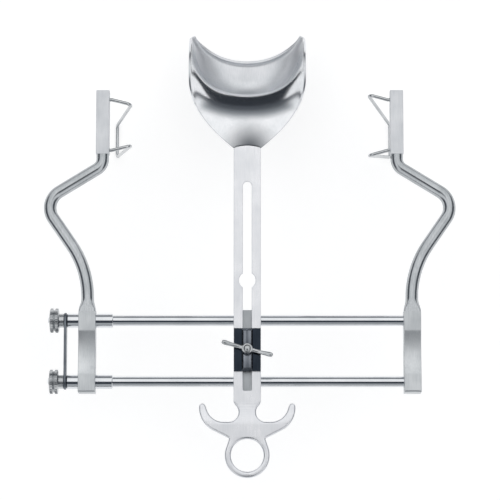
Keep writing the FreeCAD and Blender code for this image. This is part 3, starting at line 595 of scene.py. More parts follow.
def thinned(item: Item, start: float, finish: float, share: float, rows: int = 8) -> None:
    """Thin a plate in the XY plane smoothly towards one end.

    Args:
        item: The plate, with its middle at height 0.
        start: Where the thinning starts along Y, in millimetres.
        finish: Where it ends.
        share: Thickness at its end against the full thickness.
        rows: Rows of faces that it is spread over.
    """
    work = bmesh.new()
    work.from_mesh(item.data)
    for i in range(rows + 1):
        level = Vector((0, start + (finish - start) * i / rows, 0)) * MM
        parts = work.verts[:] + work.edges[:] + work.faces[:]
        bmesh.ops.bisect_plane(work, geom=parts, plane_co=level, plane_no=(0, 1, 0))
    for vertex in work.verts:
        along = min(1.0, max(0.0, (vertex.co.y / MM - start) / (finish - start)))
        vertex.co.z *= 1 - (1 - share) * eased(along)
    work.to_mesh(item.data)
    work.free()


def eased(share: float) -> float:
    """A share from 0 to 1 with a smooth start and end."""
    return share * share * (3 - 2 * share)


def section(width: float, height: float, corner: float, steps: int = 9) -> Outline:
    """A rounded rectangle; with a corner of half its sides it is a circle.

    Args:
        width: Width in millimetres.
        height: Height in millimetres.
        corner: Corner radius.
        steps: Points on each corner.

    Returns:
        The outline, with the same number of points for any size.
    """
    points: Outline = []
    for quarter, (side, top) in enumerate(((1, 1), (-1, 1), (-1, -1), (1, -1))):
        across, up = side * (width / 2 - corner), top * (height / 2 - corner)
        for i in range(steps):
            turn = math.pi / 2 * (quarter + i / (steps - 1))
            points.append((across + corner * math.cos(turn), up + corner * math.sin(turn)))
    return points


def placed(outline: Outline, centre: Vector, across: Vector, up: Vector) -> list[Vector]:
    """An outline in space, around a centre and along two unit vectors."""
    return [centre + across * x + up * y for x, y in outline]


def skinned(
    name: str, rows: Sequence[Sequence[Vector]], capped: bool = True, gap: float = 0.002
) -> Item:
    """A skin through rows of points that each go once around.

    Args:
        name: Name of the piece.
        rows: The rows in order, with the same number of points each.
        capped: Whether the first and the last row are closed by a face.
        gap: Points closer than this are merged.

    Returns:
        The piece.
    """
    count = len(rows[0])
    faces: list[list[int]] = []
    for low in range(0, (len(rows) - 1) * count, count):
        for i in range(count):
            j = (i + 1) % count
            faces.append([low + i, low + j, low + count + j, low + count + i])
    if capped:
        faces.append(list(range(count))[::-1])
        faces.append([(len(rows) - 1) * count + i for i in range(count)])
    points = [point for row in rows for point in row]
    return new_object(name, welded(new_mesh(name, points, faces), gap))


def turned(name: str, profile: Outline, axis: Axis, centre: Vector, count: int = 64) -> Item:
    """A turned piece.

    Args:
        name: Name of the piece.
        profile: Its half profile, as (along, radius); a closed one makes a hollow piece.
        axis: The axis that it is turned about.
        centre: A point on the axis, where along is 0.
        count: Faces around it.

    Returns:
        The piece.
    """
    along, first, second = (UNITS[(axis.value + i) % 3] for i in range(3))
    spokes = [first * x + second * y for x, y in circle(1.0, count=count)]
    rows = [[centre + along * at + spoke * radius for spoke in spokes] for at, radius in profile]
    return softened(skinned(name, rows, profile[0] != profile[-1], 0.0005))


def bent_line(
    corners: Sequence[Vector], bends: Sequence[float], step: float
) -> list[tuple[Vector, Vector]]:
    """Points and directions along straight runs joined by tangent arcs.

    Args:
        corners: The corner points, ends included.
        bends: Bend radius at each inner corner.
        step: Largest turn in degrees between two points.

    Returns:
        Pairs of point and unit direction.
    """
    line = [(corners[0].copy(), (corners[1] - corners[0]).normalized())]
    for before, corner, after, radius in zip(corners, corners[1:], corners[2:], bends):
        into = (corner - before).normalized()
        out = (after - corner).normalized()
        turn = into.angle(out)
        axis = into.cross(out).normalized()
        start = corner - into * radius * math.tan(turn / 2)
        centre = start + axis.cross(into) * radius
        count = max(3, math.ceil(math.degrees(turn) / step))
        for i in range(count + 1):
            spin = Matrix.Rotation(turn * i / count, 3, axis)
            line.append((centre + spin @ (start - centre), spin @ into))
    line.append((corners[-1].copy(), (corners[-1] - corners[-2]).normalized()))
    return line


def new_tree(
    name: str, lengths: Sequence[str], counts: Sequence[str] = ()
) -> tuple[Tree, bpy.types.NodeOutputs]:
    """Start a geometry node tree with the inputs Geometry and Material.

    Args:
        name: Name of the tree.
        lengths: Names of its inputs in metres.
        counts: Names of its whole numbers.

    Returns:
        The tree and the outputs of its group input.
    """
    tree = bpy.data.node_groups.new(name, "GeometryNodeTree")
    kinds = {"Geometry": "Geometry", "Material": "Material"}
    kinds |= {label: "Float" for label in lengths} | {label: "Int" for label in counts}
    for label, kind in kinds.items():
        tree.interface.new_socket(label, in_out="INPUT", socket_type=f"NodeSocket{kind}")
    tree.interface.new_socket("Geometry", in_out="OUTPUT", socket_type="NodeSocketGeometry")
    return tree, add_node(tree, "NodeGroupInput").outputs


def ended(tree: Tree, geometry: Socket, given: bpy.types.NodeOutputs) -> Tree:
    """End a tree in Realize Instances and Set Material.

    Args:
        tree: The node tree.
        geometry: What it made.
        given: The outputs of its group input.

    Returns:
        The tree.
    """
    real = first_of(tree, "GeometryNodeRealizeInstances", {"Geometry": geometry})
    inputs = {"Geometry": real, "Material": given["Material"]}
    add_node(tree, "NodeGroupOutput", {0: first_of(tree, "GeometryNodeSetMaterial", inputs)})
    return tree


def swept(tree: Tree, path: Socket, sides: Socket | int, radius: Socket) -> Socket:
    """Skin a round or cornered bar along a curve.

    Args:
        tree: The node tree.
        path: The curve.
        sides: Corners of the bar's section.
        radius: Its radius.

    Returns:
        The closed skin.
    """
    ring = {"Resolution": sides, "Radius": radius}
    inputs = {"Curve": path, "Fill Caps": True}
    inputs["Profile Curve"] = first_of(tree, "GeometryNodeCurvePrimitiveCircle", ring)
    return first_of(tree, "GeometryNodeCurveToMesh", inputs)


@cache
def wire_tree() -> Tree:
    """The tree that makes a round wire along its object's edges.

    Returns:
        A tree with the inputs Radius, Sides and Material.
    """
    tree, given = new_tree("bent_wire", ["Radius"], ["Sides"])
    path = first_of(tree, "GeometryNodeMeshToCurve", {"Mesh": given["Geometry"]})
    skin = swept(tree, path, given["Sides"], given["Radius"])
    smooth = first_of(tree, "GeometryNodeSetShadeSmooth", {"Geometry": skin})
    return ended(tree, smooth, given)


@cache
def thread_tree() -> Tree:
    """The tree that winds the ridge of a screw thread along local Z.

    Returns:
        A tree with the inputs Radius, Length, Pitch and Material.
    """
    tree, given = new_tree("screw_thread", ["Radius", "Length", "Pitch"])
    inputs = {"Resolution": 32, "Height": given["Length"]}
    inputs |= {"Start Radius": given["Radius"], "End Radius": given["Radius"]}
    inputs["Rotations"] = computed(tree, "DIVIDE", given["Length"], given["Pitch"])
    coil = first_of(tree, "GeometryNodeCurveSpiral", inputs)
    crest = computed(tree, "MULTIPLY", given["Pitch"], 0.5)
    return ended(tree, swept(tree, coil, 4, crest), given)


@cache
def knurl_tree() -> Tree:
    """The tree that sets straight knurl ridges around local Z.

    Returns:
        A tree with the inputs Radius, Length, Width, Count and Material.
    """
    tree, given = new_tree("straight_knurl", ["Radius", "Length", "Width"], ["Count"])
    inputs = {"Resolution": given["Count"], "Radius": given["Radius"]}
    ring = first_of(tree, "GeometryNodeCurvePrimitiveCircle", inputs)
    points = first_of(tree, "GeometryNodeCurveToPoints", {"Curve": ring}, mode="EVALUATED")
    inputs = {"Vertices": 4, "Side Segments": 1}
    inputs |= {"Radius": given["Width"], "Depth": given["Length"]}
    ridge = first_of(tree, "GeometryNodeMeshCylinder", inputs, fill_type="NGON")
    place = first_of(tree, "GeometryNodeInputPosition")
    heading = first_of(
        tree, "FunctionNodeAlignRotationToVector", {"Vector": place}, axis="X", pivot_axis="Z"
    )
    inputs = {"Points": points, "Instance": ridge, "Rotation": heading}
    return ended(tree, first_of(tree, "GeometryNodeInstanceOnPoints", inputs), given)


def grown(name: str, mesh: bpy.types.Mesh, tree: Tree, finish: Steel, **values: float) -> Item:
    """A piece that a node tree makes, with its modifier applied.

    Args:
        name: Name of the piece.
        mesh: The mesh that the tree starts from.
        tree: The node tree.
        finish: Its steel.
        values: The tree's other inputs, in metres where they are lengths.

    Returns:
        The piece.
    """
    item = new_object(name, mesh)
    values["Material"] = finish.material()
    modifier = item.modifiers.new(tree.name, "NODES")
    modifier.node_group = tree
    for socket in tree.interface.items_tree:
        if socket.item_type == "SOCKET" and socket.in_out == "INPUT" and socket.name in values:
            modifier[socket.identifier] = values[socket.name]
    return applied(item)


def turn_onto(item: Item, plane: Plane, centre: Vector) -> Item:
    """Turn a mesh made around local Z to stand on a plane, and move it.

    Args:
        item: An object whose mesh is in metres around the origin.
        plane: The plane that its Z stands on.
        centre: Where its origin goes, in millimetres.

    Returns:
        The object.
    """
    item.data.transform(plane.value.to_4x4())
    item.data.transform(Matrix.Translation(centre * MM))
    return item


def threaded(
    name: str, root: float, pitch: float, length: float, plane: Plane, start: Vector
) -> Item:
    """The ridge of a screw thread.

    Args:
        name: Name of the piece.
        root: Radius of the core.
        pitch: Pitch of the thread.
        length: Length of the coil's middle line.
        plane: Plane that the thread stands on.
        start: Where it starts.

    Returns:
        The piece.
    """
    sizes = {"Radius": root * MM, "Length": length * MM, "Pitch": pitch * MM}
    coil = grown(name, bpy.data.meshes.new(name), thread_tree(), TURNED, **sizes)
    return turn_onto(coil, plane, start)


@dataclass
class Span:
    """A CAD node's box in millimetres."""

    low: Vector
    high: Vector

    @classmethod
    def of(cls, node: str) -> Span:
        """The box of a node at rest."""
        low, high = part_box(node)
        return cls(low / MM, high / MM)

    @property
    def middle(self) -> Vector:
        """Its centre."""
        return (self.low + self.high) / 2

    @property
    def size(self) -> Vector:
        """Its three sides."""
        return self.high - self.low

    @property
    def axle(self) -> Vector:
        """The point of its middle line along X where x is 0."""
        return Vector((0, self.middle.y, self.middle.z))

    def over(self, level: float) -> Vector:
        """Its centre in plan, at a height."""
        return Vector((self.middle.x, self.middle.y, level))


def rod_places() -> tuple[float, float, float, float]:
    """Read from the frame where the rods run.

    Returns:
        Their middle along Y, half their spacing, their height and their radius.
    """
    upper, lower = Span.of("upper_rod"), Span.of("lower_rod")
    high, low = upper.middle.y, lower.middle.y
    return (high + low) / 2, (high - low) / 2, upper.middle.z, upper.size.z / 2


@dataclass
class Rods:
    """The two rods with threaded ends, their tie plate and the knurled nuts.

    Args:
        thread_radius: Radius of the threaded ends.
        thread_pitch: Pitch of the thread.
        nose: Chamfer of a rod's ends.
        plate_edge: Rounding of the tie plate's edges.
        rim_share: Length of one knurled rim against the grip.
        groove: Depth of the groove between the rims.
        nut_edge: Chamfer of a nut's edges.
        collar: Radius of the nut's collar.
        collar_length: Length of the collar.
        dome: Rise of the nut's outer face.
        ridges: Knurl ridges around a nut.
        ridge: Half width of a ridge.
        ridge_rise: Share of it that stands out of the grip.
    """

    thread_radius: float = 2.5
    thread_pitch: float = 0.8
    nose: float = 0.5
    plate_edge: float = 0.3
    rim_share: float = 0.42
    groove: float = 0.9
    nut_edge: float = 0.35
    collar: float = 4.85
    collar_length: float = 3.9
    dome: float = 0.6
    ridges: int = 44
    ridge: float = 0.34
    ridge_rise: float = 0.9

    def build(self) -> None:
        """Make every piece of the rods."""
        for name in ("upper_rod", "lower_rod"):
            self.rod(name)
            self.nut(f"{name}_nut")
        self.tie_plate()

    def rod(self, name: str) -> None:
        """Make one rod, from its threaded tip to its end in the fixed block.

        Args:
            name: The rod's node.
        """
        span = Span.of(name)
        low, high, shoulder = span.low.x, span.high.x, Span.of("tie_plate").high.x
        radius, nose, pitch = span.size.z / 2, self.nose, self.thread_pitch
        root = self.thread_radius - pitch * CORE_SINK
        profile = [
            (low, root - nose),
            (low + nose, root),
            (shoulder, root),
            (shoulder, radius - nose / 2),
            (shoulder + nose / 2, radius),
            (high - nose / 4, radius),
            (high, radius - nose / 4),
        ]
        shaft = turned(name, profile, Axis.X, span.axle)
        start = span.axle + Vector((low + nose, 0, 0))
        length = shoulder - low - nose - pitch
        coil = threaded(f"{name}_thread", root, pitch, length, Plane.YZ, start)
        dressed(shaft, BRIGHT_ROD, "bright_rod", "frame", name)
        dressed(coil, TURNED, "nut_steel", "frame")

    def tie_plate(self) -> None:
        """The plate that ties the threaded ends."""
        span = Span.of("tie_plate")
        half, radius = rod_places()[1], span.size.z / 2
        outer = arc((half, 0), radius, -90, 90) + arc((-half, 0), radius, 90, 270)
        loops = [outer, *bores(self.thread_radius + GAP, half, 48)]
        item = plate("tie_plate_bar", loops, span.size.x, self.plate_edge, Plane.YZ, span.middle)
        dressed(item, BLUED_STRIP, "satin_block", "frame", "tie_plate")

    def nut(self, name: str) -> None:
        """Make one knurled nut: collar, two knurled rims with a groove, domed face.

        Args:
            name: The nut's node and body.
        """
        span = Span.of(name)
        low, high, edge = span.low.x, span.high.x, self.nut_edge
        face, grip = low + self.dome, high - self.collar_length
        length = grip - face
        rim = length * self.rim_share
        top = span.size.z / 2 - self.ridge * self.ridge_rise
        bore = self.thread_radius + GAP
        profile = [
            (low, bore),
            (low + self.dome * 0.3, top * 0.6),
            (face, top - edge),
            (face + edge, top),
            (face + rim - edge, top),
            (face + rim, top - edge),
            (face + length / 2, top - self.groove),
            (grip - rim, top - edge),
            (grip - rim + edge, top),
            (grip - edge, top),
            (grip, top - edge),
            (grip, self.collar + edge),
            (grip + edge, self.collar),
            (high - edge, self.collar),
            (high, self.collar - edge),
            (high, bore),
            (low, bore),
        ]
        knob = turned(f"{name}_knob", profile, Axis.X, span.axle, 2 * self.ridges)
        sizes = {"Radius": top * MM, "Length": (rim - 2 * edge) * MM, "Width": self.ridge * MM}
        sizes["Count"] = self.ridges
        for number, place in enumerate((face + rim / 2, grip - rim / 2)):
            empty = bpy.data.meshes.new("knurl")
            row = grown(f"{name}_knurl_{number}", empty, knurl_tree(), TURNED, **sizes)
            turn_onto(row, Plane.YZ, span.axle + Vector((place, 0, 0)))
            dressed(row, TURNED, "nut_steel", name)
        dressed(knob, TURNED, "nut_steel", name, name)


@dataclass
class Arm:
    """One arm: block, bushes on the sliding side, bent rod, end bar and wire blade.

    Args:
        side: 1 for the fixed arm on the right, -1 for the sliding arm on the left.
        label: "right" or "left".
        body: The body that it rides on.
        corner_span: Spacing of the wire's upper corners.
        tip_reach: The cross wire's distance from the end bar's axis, inwards.
        elbow_out: Elbow corner outwards of the block's middle.
        elbow_up: Elbow corner above the block's upper end.
        shin_up: Lower bend corner above the block's upper end.
        root: Length of the flared root on the block.
        root_rows: Rows of faces along it.
        root_round: Corner rounding of the root where it meets the block.
        gauge: Diameter of the bent rod.
        knee_down: Upper bend corner below the end bar.
        bends: Bend radii of the knee, the elbow and the lower bend.
        block_edge: Rounding of the block's edges.
        scoop_head: Upper end of the scoop above the rods' middle.
        scoop_foot: Lower end of the scoop below the rods' middle.
        scoop_sink: Depth of the scoop.
        foot_round: Rounding of the block's lower front edge.
        bar_edge: Rounding of the end bar's edges.
        wire: Radius of the wire.
        wire_sides: Faces around the wire.
        wire_bend: Bend radius of the wire.
        wire_shelf: Corners inwards of the end bar.
        wire_root_span: Spacing of the wire's ends in the bar.
        wire_level: Middle of the wire's ends above the bar's lower end.
        wire_exit: Straight wire before its first bend.
        wire_shift: Cross wire nearer to the rods than its ends.
        wire_span: Length of the cross wire.
        bush_chamfer: Chamfer of a bush's ends.
    """

    side: int
    label: str
    body: str
    corner_span: float
    tip_reach: float
    elbow_out: float = 32.6
    elbow_up: float = 78.0
    shin_up: float = 30.7
    root: float = 9.5
    root_rows: int = 7
    root_round: float = 1.2
    gauge: float = 8.96
    knee_down: float = 7.9
    bends: tuple[float, float, float] = (8.4, 13.4, 66.0)
    block_edge: float = 0.35
    scoop_head: float = 14.6
    scoop_foot: float = 16.6
    scoop_sink: float = 2.1
    foot_round: float = 1.6
    bar_edge: float = 0.35
    wire: float = 1.25
    wire_sides: int = 28
    wire_bend: float = 3.2
    wire_shelf: float = 15.5
    wire_root_span: float = 36.4
    wire_level: float = 21.3
    wire_exit: float = 1.5
    wire_shift: float = 2.1
    wire_span: float = 23.6
    bush_chamfer: float = 0.7

    def build(self) -> None:
        """Make every piece of the arm."""
        self.block()
        self.rod()
        self.end_bar()
        self.wire_blade()
        if self.side < 0:
            for name in ("upper_bush", "lower_bush"):
                self.bush(name)

    def block(self) -> None:
        """The block across both rods, with the hollow scoop in its front."""
        node = f"{self.label}_arm_block"
        span = Span.of(node)
        rods, half, level, bore = rod_places()
        if self.side < 0:
            bore = Span.of("upper_bush").size.z / 2
        back, front = span.low.z - level, span.high.z - level
        foot, head = span.low.y - rods, span.high.y - rods
        first, last = self.scoop_head, -self.scoop_foot
        scoop = ((first, front), ((first + last) / 2, front - self.scoop_sink), (last, front))
        corner = (foot + self.foot_round, front - self.foot_round)
        outer = [(foot, back), (head, back), (head, front)]
        outer += arc_through(*(Vector(point) for point in scoop), 20)
        outer += arc(corner, self.foot_round, 90, 180, 15)
        loops = [outer, *bores(bore, half)]
        middle = Vector((span.middle.x, rods, level))
        item = plate(f"{self.label}_block", loops, span.size.x, self.block_edge, Plane.YZ, middle)
        dressed(item, BRUSHED_BLOCK, "satin_block", self.body, node)

    def bush(self, name: str) -> None:
        """Make a bush, chamfered at both ends and hollow for its rod.

        Args:
            name: The bush's node.
        """
        span = Span.of(name)
        low, high, outside, cut = span.low.x, span.high.x, span.size.z / 2, self.bush_chamfer
        inside = Span.of(name.replace("bush", "rod")).size.z / 2 + GAP
        profile = [(low, inside), (low, outside - cut), (low + cut, outside)]
        profile += [(high - cut / 2, outside), (high, outside - cut / 2), (high, inside)]
        item = turned(f"{name}_tube", profile + profile[:1], Axis.X, span.axle)
        dressed(item, BRIGHT_ROD, "bright_rod", self.body, name)

    def rod(self) -> None:
        """The bent rod, flared at its root to the size of the block."""
        block, bar = Span.of(f"{self.label}_arm_block"), Span.of(f"{self.label}_end_bar")
        base = Vector((block.middle.x, block.high.y, bar.middle.z))
        top = Vector((bar.middle.x, bar.low.y, bar.middle.z))
        corners = [top, top - Vector((0, self.knee_down, 0))]
        corners.append(base + Vector((self.side * self.elbow_out, self.elbow_up, 0)))
        corners += [base + Vector((0, high, 0)) for high in (self.shin_up, self.root)]
        gauge, up = self.gauge, UNITS[2]
        pipe = section(gauge, gauge, gauge / 2)
        line = bent_line(corners, self.bends, 4)
        rows = [placed(pipe, centre, up.cross(heading), up) for centre, heading in line]
        for i in range(1, self.root_rows + 1):
            share = i / self.root_rows
            ease = eased(share)
            width = gauge + (block.size.x - gauge) * ease
            height = gauge + (block.size.z - gauge) * ease
            corner = gauge / 2 + (self.root_round - gauge / 2) * ease
            centre = base + Vector((0, self.root * (1 - share), 0))
            rows.append(placed(section(width, height, corner), centre, UNITS[0], up))
        item = softened(skinned(f"{self.label}_arm_rod", rows))
        dressed(item, SATIN_ROD, "satin_arm", self.body, f"{self.label}_arm")

    def end_bar(self) -> None:
        """The end bar, with the bores that the wire is brazed in."""
        node = f"{self.label}_end_bar"
        span = Span.of(node)
        long, half = span.size.y, span.size.z / 2
        loops = [[(0, -half), (long, -half), (long, half), (0, half)]]
        for turn in (-1, 1):
            place = self.wire_level + turn * self.wire_root_span / 2
            loops.append(circle(self.wire, place, 0, 32))
        middle = Vector((span.middle.x, span.low.y, span.middle.z))
        item = plate(f"{node}_bar", loops, span.size.x, self.bar_edge, Plane.YZ, middle)
        dressed(item, SATIN_BAR, "satin_block", self.body, node)

    def wire_blade(self) -> None:
        """The side blade: one wire bent into a deep loop."""
        node = f"{self.label}_wire_blade"
        bar = Span.of(f"{self.label}_end_bar")
        drop = bar.middle.z - Span.of(node).low.z - self.wire
        origin = Vector((bar.middle.x, bar.low.y + self.wire_level, bar.middle.z))
        half = bar.size.x / 2
        corners: list[Vector] = []
        for turn in (1, -1):
            root = turn * self.wire_root_span / 2
            leg = [
                (-half, root, 0),
                (half + self.wire_exit, root, 0),
                (half + self.wire_shelf, turn * self.corner_span / 2, 0),
                (self.tip_reach, turn * self.wire_span / 2 - self.wire_shift, -drop),
            ]
            for inwards, across, level in leg[::turn]:
                corners.append(origin + Vector((-self.side * inwards, across, level)))
        line = bent_line(corners, [self.wire_bend] * (len(corners) - 2), 7)
        mesh = bpy.data.meshes.new(f"{self.label}_wire_path")
        points = [point * MM for point, _ in line]
        mesh.from_pydata(points, [(i, i + 1) for i in range(len(points) - 1)], [])
        sizes = {"Radius": self.wire * MM, "Sides": self.wire_sides}
        item = grown(f"{self.label}_wire", mesh, wire_tree(), WIRE, **sizes)
        dressed(item, WIRE, "drawn_wire", self.body, node)


@dataclass
class Clamp:
    """Saddle, clamp stud, pressure plate and wing nut.

    Args:
        saddle_cut: Bevel of the saddle's underside.
        saddle_edge: Rounding of the saddle's other edges.
        seat_gap: Gap between the saddle's top and the stem.
        tongue_rise: Height of the tongue in the slot.
        tongue_length: Length of the tongue.
        tongue_width: Width of the tongue.
        small_edge: Rounding of the tongue's and the rib's edges.
        stud_radius: Radius of the stud.
        stud_pitch: Pitch of its thread.
        stud_round: Height of its rounded end.
        stud_flat: Radius of the flat left on it.
        plate_gauge: Thickness of the pressure plate beside its rib.
        plate_edge: Rounding of its edges.
        rib_foot: Width of the rib at its foot.
        rib_top: Width of the rib at its top.
        rib_bevel: Bevel at each end of the rib.
        hub_foot: Radius of the hub's foot.
        hub_top: Radius of the hub's top.
        hub_height: Height of the hub.
        hub_edge: Chamfer of the hub.
        wing_turn: Turn of the wings in degrees.
        wing_gauge: Thickness of a wing.
        wing_flat: Flat left between the roundings of its edges, halved.
        wing: Stations outwards along a wing: share of its reach, middle and depth against its
            height, thickness against its gauge.
    """

    saddle_cut: float = 1.2
    saddle_edge: float = 0.4
    seat_gap: float = 0.02
    tongue_rise: float = 2.5
    tongue_length: float = 24.0
    tongue_width: float = 5.9
    small_edge: float = 0.3
    stud_radius: float = 2.5
    stud_pitch: float = 0.8
    stud_round: float = 0.9
    stud_flat: float = 0.01
    plate_gauge: float = 2.0
    plate_edge: float = 0.25
    rib_foot: float = 8.0
    rib_top: float = 5.4
    rib_bevel: float = 2.0
    hub_foot: float = 4.5
    hub_top: float = 3.7
    hub_height: float = 7.0
    hub_edge: float = 0.5
    wing_turn: float = -15.0
    wing_gauge: float = 2.6
    wing_flat: float = 0.02
    wing: tuple[tuple[float, float, float, float], ...] = (
        (0.16, 0.42, 0.60, 1.0),
        (0.35, 0.40, 0.44, 1.0),
        (0.55, 0.47, 0.42, 1.0),
        (0.72, 0.57, 0.48, 1.15),
        (0.86, 0.67, 0.50, 1.35),
        (0.95, 0.70, 0.40, 1.2),
        (0.99, 0.71, 0.22, 0.7),
    )

    def build(self) -> None:
        """Make every piece of the clamp."""
        self.saddle()
        self.stud()
        self.pressure_plate()
        self.wing_nut()

    def saddle(self) -> None:
        """The saddle with both rod bores, and the tongue on top of it."""
        span = Span.of("saddle")
        _, half, level, radius = rod_places()
        top = span.high.z - self.tongue_rise - self.seat_gap
        low, high = span.low.z - level, top - level
        foot, cut = span.size.y / 2, self.saddle_cut
        outer = [(-foot + cut, low), (foot - cut, low), (foot, low + cut)]
        outer += [(foot, high), (-foot, high), (-foot, low + cut)]
        loops, centre = [outer, *bores(radius + GAP, half)], span.over(level)
        item = plate("saddle_block", loops, span.size.x, self.saddle_edge, Plane.YZ, centre)
        dressed(item, SADDLE_PAINTED_SHADE, "satin_block", "saddle", "saddle")
        loops, centre = [rectangle(self.tongue_width / 2, self.tongue_length / 2)], span.over(top)
        centre.z += self.tongue_rise / 2
        tongue = plate(
            "saddle_tongue", loops, self.tongue_rise, self.small_edge, Plane.XY, centre
        )
        dressed(tongue, SADDLE_PAINTED_SHADE, "satin_block", "saddle")

    def stud(self) -> None:
        """The threaded stud with its rounded end."""
        span = Span.of("clamp_stud")
        pitch, height = self.stud_pitch, self.stud_round
        root, neck = self.stud_radius - pitch * CORE_SINK, span.high.z - height
        profile = [(span.low.z, root), (neck, root)]
        for turn in (0.35, 0.7, 1.05, 1.4):
            radius = root * math.cos(turn) + self.stud_flat
            profile.append((neck + height * math.sin(turn), radius))
        shaft = turned("clamp_stud_core", profile, Axis.Z, span.over(0), 48)
        start, length = span.over(span.low.z + pitch / 2), span.size.z - 2 * pitch
        coil = threaded("clamp_stud_thread", root, pitch, length, Plane.XY, start)
        dressed(shaft, TURNED, "nut_steel", "saddle", "clamp_stud")
        dressed(coil, TURNED, "nut_steel", "saddle")

    def pressure_plate(self) -> None:
        """The plate, dark with painted reflection in its colour, and its bright bevelled rib."""
        name = "pressure_plate"
        span = Span.of(name)
        end, gauge = span.size.y / 2, self.plate_gauge
        loops = [rectangle(span.size.x / 2, end), circle(self.stud_radius + GAP, count=48)]
        centre = span.over(span.low.z + gauge / 2)
        base = plate(f"{name}_base", loops, gauge, self.plate_edge, Plane.XY, centre)
        dressed(base, MIRROR_PAINTED_REFLECTION, "mirror_plate", name, name)
        foot = rectangle(self.rib_foot / 2, end)
        top = rectangle(self.rib_top / 2, end - self.rib_bevel)
        levels = ((foot, span.low.z + gauge), (top, span.high.z))
        rows = [placed(outline, span.over(level), *UNITS[:2]) for outline, level in levels]
        rib = softened(skinned(f"{name}_rib", rows), self.small_edge, 20)
        dressed(rib, GROUND_RIB_PAINTED_SHADE, "satin_stem", name)

    def wing_nut(self) -> None:
        """The hub and its two wings, lofted outwards from it."""
        name = "wing_nut"
        span = Span.of(name)
        centre, rise = span.over(span.low.z), UNITS[2] * span.size.z
        foot, top, tall = self.hub_foot, self.hub_top, self.hub_height
        bore, edge = self.stud_radius + GAP, self.hub_edge
        profile = [
            (0, bore),
            (0, foot - edge),
            (edge, foot),
            (tall - 2 * edge, top),
            (tall - edge / 2, top - edge * 0.6),
            (tall, top - 2 * edge),
            (tall, bore),
            (0, bore),
        ]
        hub = turned(f"{name}_hub", profile, Axis.Z, centre, 56)
        dressed(hub, TURNED, "nut_steel", name, name)
        reach = math.hypot(span.size.x, span.size.y) / 2
        spin = Matrix.Rotation(math.radians(self.wing_turn), 3, "Z")
        for label, side in (("right", 1), ("left", -1)):
            out, aside = (spin @ unit * side for unit in UNITS[:2])
            rows = []
            for share, middle, depth, thick in self.wing:
                width, height = self.wing_gauge * thick, rise.z * depth
                corner = min(width, height) / 2 - self.wing_flat
                at = centre + out * reach * share + rise * middle
                rows.append(placed(section(width, height, corner, 6), at, aside, UNITS[2]))
            wing = softened(skinned(f"{name}_{label}_wing", rows))
            dressed(wing, TURNED, "nut_steel", name)


